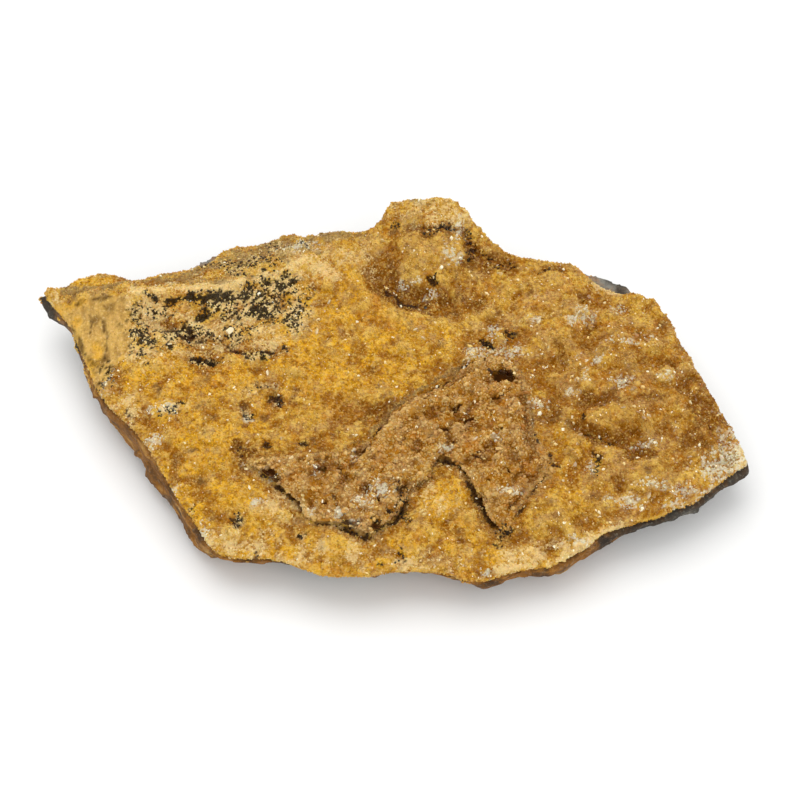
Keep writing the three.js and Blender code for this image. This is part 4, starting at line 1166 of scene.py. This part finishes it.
class SPECIMEN_OT_limestone_slab(bpy.types.Operator):
    """Dresses the limestone slab"""

    bl_idname = "specimen.limestone_slab"
    bl_label = "Limestone slab"

    # The rock swells against the crust by this much, in mm, so that no gap shows between them.
    SWELL = 0.5

    def execute(self, context):
        shape = context.scene.specimen_shape
        piece = fine_copy("matrix", "limestone_slab", shape.rock_voxel, smoothing=3)
        mesh = piece.data
        points = corners_of(mesh)
        normals = normals_of(mesh)
        above_base = ramp(points[:, 2], 0.2, 1.2)
        relief = grown["relief"]
        below_crust = relief.at(relief.blurred(3.0), points[:, :2]) - points[:, 2]
        # Only the steep rock down to about 5 mm below the crust's top swells.
        swell = self.SWELL * ramp(below_crust, 5.5, 4.0) * ramp(normals[:, 2], 0.8, 0.4)
        points += normals * (self.broken_stone(points, normals) * above_base + swell)[:, None]
        set_corners(mesh, points)
        relax(mesh, 3)
        points = corners_of(mesh)
        points[:, 2] = np.maximum(points[:, 2], 0)
        set_corners(mesh, points)
        speckle = 0.3 * GRAIN.layered(points, 3, 3)
        place = warped(points, 3.5, 5.0)
        set_mask(mesh, "stain", ramp(seams(place, STAINED_SIDES) + speckle, 0.15, 0.45))
        set_mask(mesh, "bleached", ramp(seams(place, BLEACHED_SIDES) + 1.5 * speckle, 0.2, 0.9))
        set_mask(mesh, "rim", ramp(below_crust + 6 * speckle, 6, 3))
        set_mask(mesh, "black", ramp(seams(place, BLACK_SIDES) + 1.5 * speckle, 0.15, 0.75))
        grown["slab"] = Ground(mesh, [])
        finish_piece(piece, dark_limestone(context.scene.specimen_colours), "matrix")
        return {"FINISHED"}

    def broken_stone(self, points, normals):
        """Chipped facets all over, and beds a few millimetres thick that stand out on the steep sides."""
        rough = 0.7 * chips(points, 7, seed=71) + 0.15 * chips(points, 3, seed=73)
        beds = BEDDING.layered(points * (0.12, 0.12, 1.0), 2.2, 2)
        steep = 1 - np.abs(normals[:, 2])
        return rough + 0.2 * GRAIN.layered(points, 3, 3) + 0.3 * steep * beds


class SPECIMEN_OT_crusts(bpy.types.Operator):
    """Dresses the bodies of the druse and of the raised crust"""

    bl_idname = "specimen.crusts"
    bl_label = "Crusts"

    def execute(self, context):
        shape = context.scene.specimen_shape
        colours = context.scene.specimen_colours
        druse = fine_copy("druse", "druse_crust", shape.crust_voxel, smoothing=5)
        raised = fine_copy("raised_crust", "raised_crust_body", shape.raised_voxel, smoothing=3)
        self.roughen(druse.data, self.druse_relief, DRUSE_CRACKS + GROOVES)
        self.roughen(raised.data, self.raised_relief, RAISED_CRACKS)
        grown["druse"] = Ground(druse.data, DRUSE_CRACKS)
        grown["raised"] = Ground(raised.data, RAISED_CRACKS)
        grown["relief"] = Relief(grown["druse"], grown["raised"])
        random = np.random.default_rng(17)
        for piece, crust in ((druse, grown["druse"]), (raised, grown["raised"])):
            own = 0.3 * random.normal(size=len(crust.corners))
            set_staining(piece.data, crust.corners, grown["relief"], crust.cracks, own)
        honey = honey_celestite("Honey celestite", colours, False)
        brown = celestite(
            "Brown celestite", colours, colours.amber, colours.deep_honey, colours.raised, colours.brown,
            False,
        )
        finish_piece(druse, honey, "druse")
        finish_piece(raised, brown, "raised_crust")
        return {"FINISHED"}

    def roughen(self, mesh, relief, cracks):
        """Raises the relief and cuts the cracks, all but on the underside."""
        points = corners_of(mesh)
        normals = normals_of(mesh)
        upward = ramp(normals[:, 2], -0.2, 0.5)
        height = relief(points) - crack_depth(points, cracks)
        points += normals * (height * upward)[:, None]
        set_corners(mesh, points)

    def druse_relief(self, points):
        """Grape-like lumps, the larger ones on the right half; the fracture face stays smooth. Each layer
        of lumps is taken less its mean, so that the crust keeps its level."""
        right = ramp(points[:, 0], -25, 25)
        lumps = (0.5 + 0.55 * right) * (rounded_cells(points, 5.5, seed=11) - 0.6)
        lumps += 2.1 * ramp(points[:, 0], 24, 40) * (rounded_cells(points, 8.5, seed=15) - 0.66)
        lumps += 0.5 * (rounded_cells(points, 2.9, seed=12) - 0.6)
        lumps += 0.25 * (rounded_cells(points, 1.6, seed=13) - 0.6)
        lumps += 0.3 * GRAIN.layered(points, 4.5, 3) - 0.1
        return lumps * np.where(inside(points[:, :2], FRACTURE_FACE), 0.45, 1.0)

    def raised_relief(self, points):
        """Craggy lumps with gaps between them."""
        lumps = 1.1 * (rounded_cells(points, 3.2, seed=31) - 0.6)
        lumps += 0.9 * (rounded_cells(points, 1.7, seed=32) - 0.6)
        lumps += 0.5 * chips(points, 2.4, seed=33) + 0.8 * GRAIN.layered(points, 3.0, 3) - 0.5
        return lumps - 1.2 * seams(points[:, :2], MERGED_EDGES)


class SPECIMEN_OT_druse_crystals(bpy.types.Operator):
    """Grows the fine crystals of the druse"""

    bl_idname = "specimen.druse_crystals"
    bl_label = "Druse crystals"

    # The crystals' half width and half height in mm, at random, and how far they lean.
    GIRTH = (0.25, 0.52)
    HEIGHT = (0.2, 0.44)
    LEAN = 0.45
    # On the fracture face they are fewer and smaller than elsewhere, by these shares.
    FACE_COUNT = 0.4
    FACE_SIZE = 0.5
    # They are joined in this many meshes, so that none has over 200,000 triangles.
    MESHES = 3

    def execute(self, context):
        shape = context.scene.specimen_shape
        colours = context.scene.specimen_colours
        random = np.random.default_rng(21)
        places, normals = grown["druse"].scatter(shape.grain_spacing, random)
        ragged = warped(places, 1.2, 2.0)
        on_face = inside(ragged, FRACTURE_FACE)
        bare = on_face & (random.uniform(size=len(places)) >= self.FACE_COUNT)
        clear = ~grown["relief"].covered(places) & ~bare
        places, normals, on_face = places[clear], normals[clear], on_face[clear]
        material = honey_celestite("Honey celestite crystals", colours, True)
        order = random.permutation(len(places))
        for index, chosen in enumerate(np.array_split(order, self.MESHES)):
            count = len(chosen)
            girth = random.uniform(*self.GIRTH, count)
            tall = random.uniform(*self.HEIGHT, count)
            sizes = crystal_sizes(girth, 0.7, tall, random)
            # They are smaller where the ground is steep.
            sizes *= 0.55 + 0.45 * ramp(normals[chosen, 2:], 0.25, 0.8)
            sizes *= np.where(on_face[chosen, None], self.FACE_SIZE, 1)
            grow(
                f"druse_crystals_{index + 1}", GRAIN_FORM, places[chosen], normals[chosen], sizes,
                self.LEAN, random, DRUSE_CRACKS, material,
            )
        return {"FINISHED"}


class SPECIMEN_OT_fringe_crystals(bpy.types.Operator):
    """Grows a ragged fringe of fine crystals where the rim of the druse meets the sides of the slab"""

    bl_idname = "specimen.fringe_crystals"
    bl_label = "Fringe crystals"

    # The spacing of the crystals below the druse's rim and on the slab's sides, in mm.
    RIM_SPACING = 0.5
    SIDE_SPACING = 0.42
    # Their half width in mm, at random, their height as a share of it, and how far they lean.
    GIRTH = (0.25, 0.5)
    SQUAT = 0.8
    LEAN = 0.5

    def execute(self, context):
        colours = context.scene.specimen_colours
        random = np.random.default_rng(64)
        rim_places, rim_normals = self.below_rim(random)
        side_places, side_normals = self.beside_rim(random)
        places = np.concatenate([rim_places, side_places])
        normals = np.concatenate([rim_normals, side_normals])
        girth = random.uniform(*self.GIRTH, len(places))
        sizes = crystal_sizes(girth, 0.7, girth * self.SQUAT, random)
        material = honey_celestite("Honey celestite fringe", colours, True)
        grow(
            "druse_fringe_crystals", GRAIN_FORM, places, normals, sizes, self.LEAN, random,
            DRUSE_CRACKS, material,
        )
        return {"FINISHED"}

    def near_rim(self, places):
        """True for the places that lie below the rim of the druse, and not further in."""
        relief = grown["relief"]
        return relief.at(relief.away_from_rim(1.5), places[:, :2]) < 0.9

    def below_rim(self, random):
        """Places on the lower half of the druse's rounded rim."""
        places, normals = grown["druse"].scatter(self.RIM_SPACING, random, lowest=-0.85)
        chosen = (normals[:, 2] < -0.1) & self.near_rim(places)
        return places[chosen], normals[chosen]

    def beside_rim(self, random):
        """Places on the slab's sides, as far from the druse as the fringe reaches, most at the back."""
        places, normals = grown["slab"].scatter(self.SIDE_SPACING, random, lowest=-0.7)
        steep = (normals[:, 2] < 0.5) & self.near_rim(places)
        places, normals = places[steep], normals[steep]
        gaps = np.array([grown["druse"].distance(place) for place in places])
        reach = 0.6 + 0.9 * ramp(places[:, 1], -5, 10)
        chosen = gaps < reach * (1 + 0.9 * GRAIN.layered(places + 170, 3.0, 3))
        return places[chosen], normals[chosen]


class SPECIMEN_OT_blade_crystals(bpy.types.Operator):
    """Grows the bladed crystals of the druse, most of them on its right half"""

    bl_idname = "specimen.blade_crystals"
    bl_label = "Bladed crystals"

    # The blades' half length in mm: the least, and the shape and scale of what chance adds to it.
    LEAST_LENGTH = 0.2
    ADDED_LENGTH = (3.0, 0.09)
    # Their height as a share of it, and how far they lean.
    SQUAT = 0.8
    LEAN = 0.7

    def execute(self, context):
        shape = context.scene.specimen_shape
        colours = context.scene.specimen_colours
        random = np.random.default_rng(33)
        places, normals = grown["druse"].scatter(shape.blade_spacing, random)
        # The share of the places that bear a blade.
        liked = 0.04 + 0.25 * ramp(places[:, 0], -10, 45) + 0.7 * patches(places, FROST_PATCHES)
        bare = inside(places, FRACTURE_FACE) | grown["relief"].covered(places) | (normals[:, 2] < 0.4)
        chosen = (random.uniform(size=len(places)) < liked) & ~bare
        places, normals = places[chosen], normals[chosen]
        count = len(places)
        length = random.gamma(*self.ADDED_LENGTH, count) + self.LEAST_LENGTH
        sizes = np.stack([length, length * random.uniform(0.6, 0.9, count), length * self.SQUAT], axis=1)
        material = celestite(
            "Celestite blades", colours, colours.pale_honey, colours.pale_honey, colours.frost,
            colours.amber, True,
        )
        grow(
            "druse_blades", BLADE_FORM, places, normals, sizes, self.LEAN, random, DRUSE_CRACKS,
            material,
        )
        return {"FINISHED"}


class SPECIMEN_OT_pale_crystals(bpy.types.Operator):
    """Grows the pale crystals that flash, thickest on the frosted places"""

    bl_idname = "specimen.pale_crystals"
    bl_label = "Pale crystals"

    # The crystals' half width in mm: the least, and the shape and scale of what chance adds to it.
    LEAST_GIRTH = 0.09
    ADDED_GIRTH = (2.0, 0.06)
    # Their height as a share of it, and how far they lean.
    TALL = 1.4
    LEAN = 0.8

    def execute(self, context):
        shape = context.scene.specimen_shape
        random = np.random.default_rng(58)
        material = pale_celestite(context.scene.specimen_colours)
        for name, crust, slot in (
            ("druse_pale_crystals", grown["druse"], "honey_crystal"),
            ("raised_pale_crystals", grown["raised"], "brown_crystal"),
        ):
            places, normals = crust.scatter(shape.pale_spacing, random)
            frosted = patches(warped(places, 0.7, 1.8), FROST_PATCHES)
            # The share of the places that bear a crystal.
            liked = 0.06 + 0.07 * ramp(places[:, 0], -10, 45) + 0.4 * frosted
            liked += 0.2 * patches(places, MANGANESE_SPECKS)
            hidden = inside(places, FRACTURE_FACE) | (normals[:, 2] < 0.3)
            if crust is grown["druse"]:
                hidden |= grown["relief"].covered(places)
            chosen = (random.uniform(size=len(places)) < liked) & ~hidden
            places, normals = places[chosen], normals[chosen]
            count = len(places)
            girth = random.gamma(*self.ADDED_GIRTH, count) + self.LEAST_GIRTH
            sizes = crystal_sizes(girth, 0.5, girth * self.TALL, random)
            mesh = crystal_mesh(name, STOUT_FORM, places, normals, sizes, self.LEAN, random)
            set_mask(mesh, "shade", np.repeat(random.uniform(size=count), len(STOUT_FORM[0])))
            finish_piece(object_from(name, mesh), material)
        return {"FINISHED"}


class SPECIMEN_OT_raised_crystals(bpy.types.Operator):
    """Grows the coarse crystals of the raised crust"""

    bl_idname = "specimen.raised_crystals"
    bl_label = "Raised crystals"

    # The crystals' half width in mm: the least, and the shape and scale of what chance adds to it.
    LEAST_GIRTH = 0.1
    ADDED_GIRTH = (4.0, 0.05)
    LEAN = 0.6
    # The spacing of the crystals that bridge the step at the rim, and how far out they stand, in mm.
    RIM_SPACING = 0.5
    RIM_WIDTH = 0.9

    def execute(self, context):
        shape = context.scene.specimen_shape
        colours = context.scene.specimen_colours
        random = np.random.default_rng(47)
        places, normals = grown["raised"].scatter(shape.raised_spacing, random)
        clear = crack_strength(places, RAISED_CRACKS) < 0.7
        rim_places, rim_normals = self.rim_places(random)
        places = np.concatenate([places[clear], rim_places])
        normals = np.concatenate([normals[clear], rim_normals])
        count = len(places)
        girth = random.gamma(*self.ADDED_GIRTH, count) + self.LEAST_GIRTH
        flat, tall = girth * random.uniform(0.5, 1, count), girth * random.uniform(0.8, 1.4, count)
        sizes = np.stack([girth, flat, tall], axis=1)
        material = celestite(
            "Brown celestite crystals", colours, colours.raised, colours.honey, colours.raised_pale,
            colours.brown, True,
        )
        grow(
            "raised_crystals", STOUT_FORM, places, normals, sizes, self.LEAN, random, RAISED_CRACKS,
            material,
        )
        return {"FINISHED"}

    def rim_places(self, random):
        """Places on the druse where crystals bridge the step to the raised crust, in stretches."""
        places, normals = grown["druse"].scatter(self.RIM_SPACING, random)
        edge = line_distance(places[:, :2], RAISED_OUTLINE + RAISED_OUTLINE[:1])
        bridged = GRAIN.layered(places + 150, 2.4, 2) > -0.3
        open_seam = crack_strength(places, DRUSE_CRACKS) > 0.45
        chosen = (edge < self.RIM_WIDTH) & bridged & ~open_seam
        return places[chosen], normals[chosen]


class SPECIMEN_OT_studio(bpy.types.Operator):
    """Sets up the floor, the lights and the camera"""

    bl_idname = "specimen.studio"
    bl_label = "Studio"

    # Half the floor's side and each light's place and width, in metres. The key light stands behind.
    FLOOR_REACH = 3
    KEY_PLACE = (-0.14, 0.4, 0.85)
    KEY_WIDTH = 1.1
    FILL_PLACE = (0.4, -0.7, 0.6)
    FILL_WIDTH = 0.8
    # The camera's sensor, in mm.
    SENSOR_WIDTH = 36

    def execute(self, context):
        studio = context.scene.specimen_studio
        self.add_floor(context)
        target = Vector((np.array(studio.target) + PLAN_ORIGIN) * MM)
        back = Vector((0, -math.cos(studio.elevation), math.sin(studio.elevation)))
        data = bpy.data.cameras.new("camera")
        data.sensor_width = self.SENSOR_WIDTH
        data.lens = data.sensor_width * studio.distance / studio.view_width
        camera = bpy.data.objects.new("camera", data)
        camera.location = target + back * studio.distance
        camera.rotation_euler = (math.pi / 2 - studio.elevation, 0, 0)
        context.scene.collection.objects.link(camera)
        context.scene.camera = camera
        self.add_light("key", self.KEY_PLACE, self.KEY_WIDTH, studio.key_light, target)
        self.add_light("fill", self.FILL_PLACE, self.FILL_WIDTH, studio.fill_light, target)
        world = bpy.data.worlds.new("studio")
        world.use_nodes = True
        background = world.node_tree.nodes["Background"]
        background.inputs["Color"].default_value = (1, 1, 1, 1)
        background.inputs["Strength"].default_value = studio.sky
        context.scene.world = world
        context.scene.view_settings.view_transform = "Standard"
        return {"FINISHED"}

    def add_floor(self, context):
        """A white floor that the slab rests on."""
        mesh = bpy.data.meshes.new("floor")
        reach = self.FLOOR_REACH
        corners = [(-reach, -reach, 0), (reach, -reach, 0), (reach, reach, 0), (-reach, reach, 0)]
        mesh.from_pydata(corners, [], [(0, 1, 2, 3)])
        floor = object_from("floor", mesh)
        mesh.materials.append(white_paper(context.scene.specimen_colours))

    def add_light(self, name, place, width, power, target):
        """A soft round light that faces the target."""
        data = bpy.data.lights.new(name, "AREA")
        data.shape = "DISK"
        data.size = width
        data.energy = power
        light = bpy.data.objects.new(name, data)
        light.location = place
        light.rotation_euler = (target - light.location).to_track_quat("-Z", "Y").to_euler()
        bpy.context.scene.collection.objects.link(light)


class SPECIMEN_PT_panel(bpy.types.Panel):
    """Lists the specimen's pieces and settings"""

    bl_label = "Druse on limestone"
    bl_idname = "SPECIMEN_PT_panel"
    bl_space_type = "VIEW_3D"
    bl_region_type = "UI"
    bl_category = "Specimen"

    def draw(self, context):
        for operator in OPERATORS:
            self.layout.operator(operator.bl_idname)
        scene = context.scene
        for group in (scene.specimen_shape, scene.specimen_studio, scene.specimen_colours):
            for name in group.bl_rna.properties.keys():
                if name not in ("rna_type", "name"):
                    self.layout.prop(group, name)


OPERATORS = (
    SPECIMEN_OT_crusts,
    SPECIMEN_OT_limestone_slab,
    SPECIMEN_OT_druse_crystals,
    SPECIMEN_OT_fringe_crystals,
    SPECIMEN_OT_blade_crystals,
    SPECIMEN_OT_raised_crystals,
    SPECIMEN_OT_pale_crystals,
    SPECIMEN_OT_studio,
)
GROUPS = (SpecimenColours, SpecimenShape, StudioSettings)


def register():
    """Adds the specimen's settings, operators and panel to Blender."""
    for cls in (*GROUPS, *OPERATORS, SPECIMEN_PT_panel):
        bpy.utils.register_class(cls)
    bpy.types.Scene.specimen_colours = PointerProperty(type=SpecimenColours)
    bpy.types.Scene.specimen_shape = PointerProperty(type=SpecimenShape)
    bpy.types.Scene.specimen_studio = PointerProperty(type=StudioSettings)


def unregister():
    """Takes the specimen's settings, operators and panel out of Blender."""
    del bpy.types.Scene.specimen_studio
    del bpy.types.Scene.specimen_shape
    del bpy.types.Scene.specimen_colours
    for cls in (SPECIMEN_PT_panel, *reversed(OPERATORS), *reversed(GROUPS)):
        bpy.utils.unregister_class(cls)


def main():
    """Builds every piece and the stage."""
    register()
    bpy.ops.specimen.crusts()
    bpy.ops.specimen.limestone_slab()
    bpy.ops.specimen.druse_crystals()
    bpy.ops.specimen.fringe_crystals()
    bpy.ops.specimen.blade_crystals()
    bpy.ops.specimen.raised_crystals()
    bpy.ops.specimen.pale_crystals()
    bpy.ops.specimen.studio()
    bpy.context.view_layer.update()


if __name__ == "__main__":
    main()
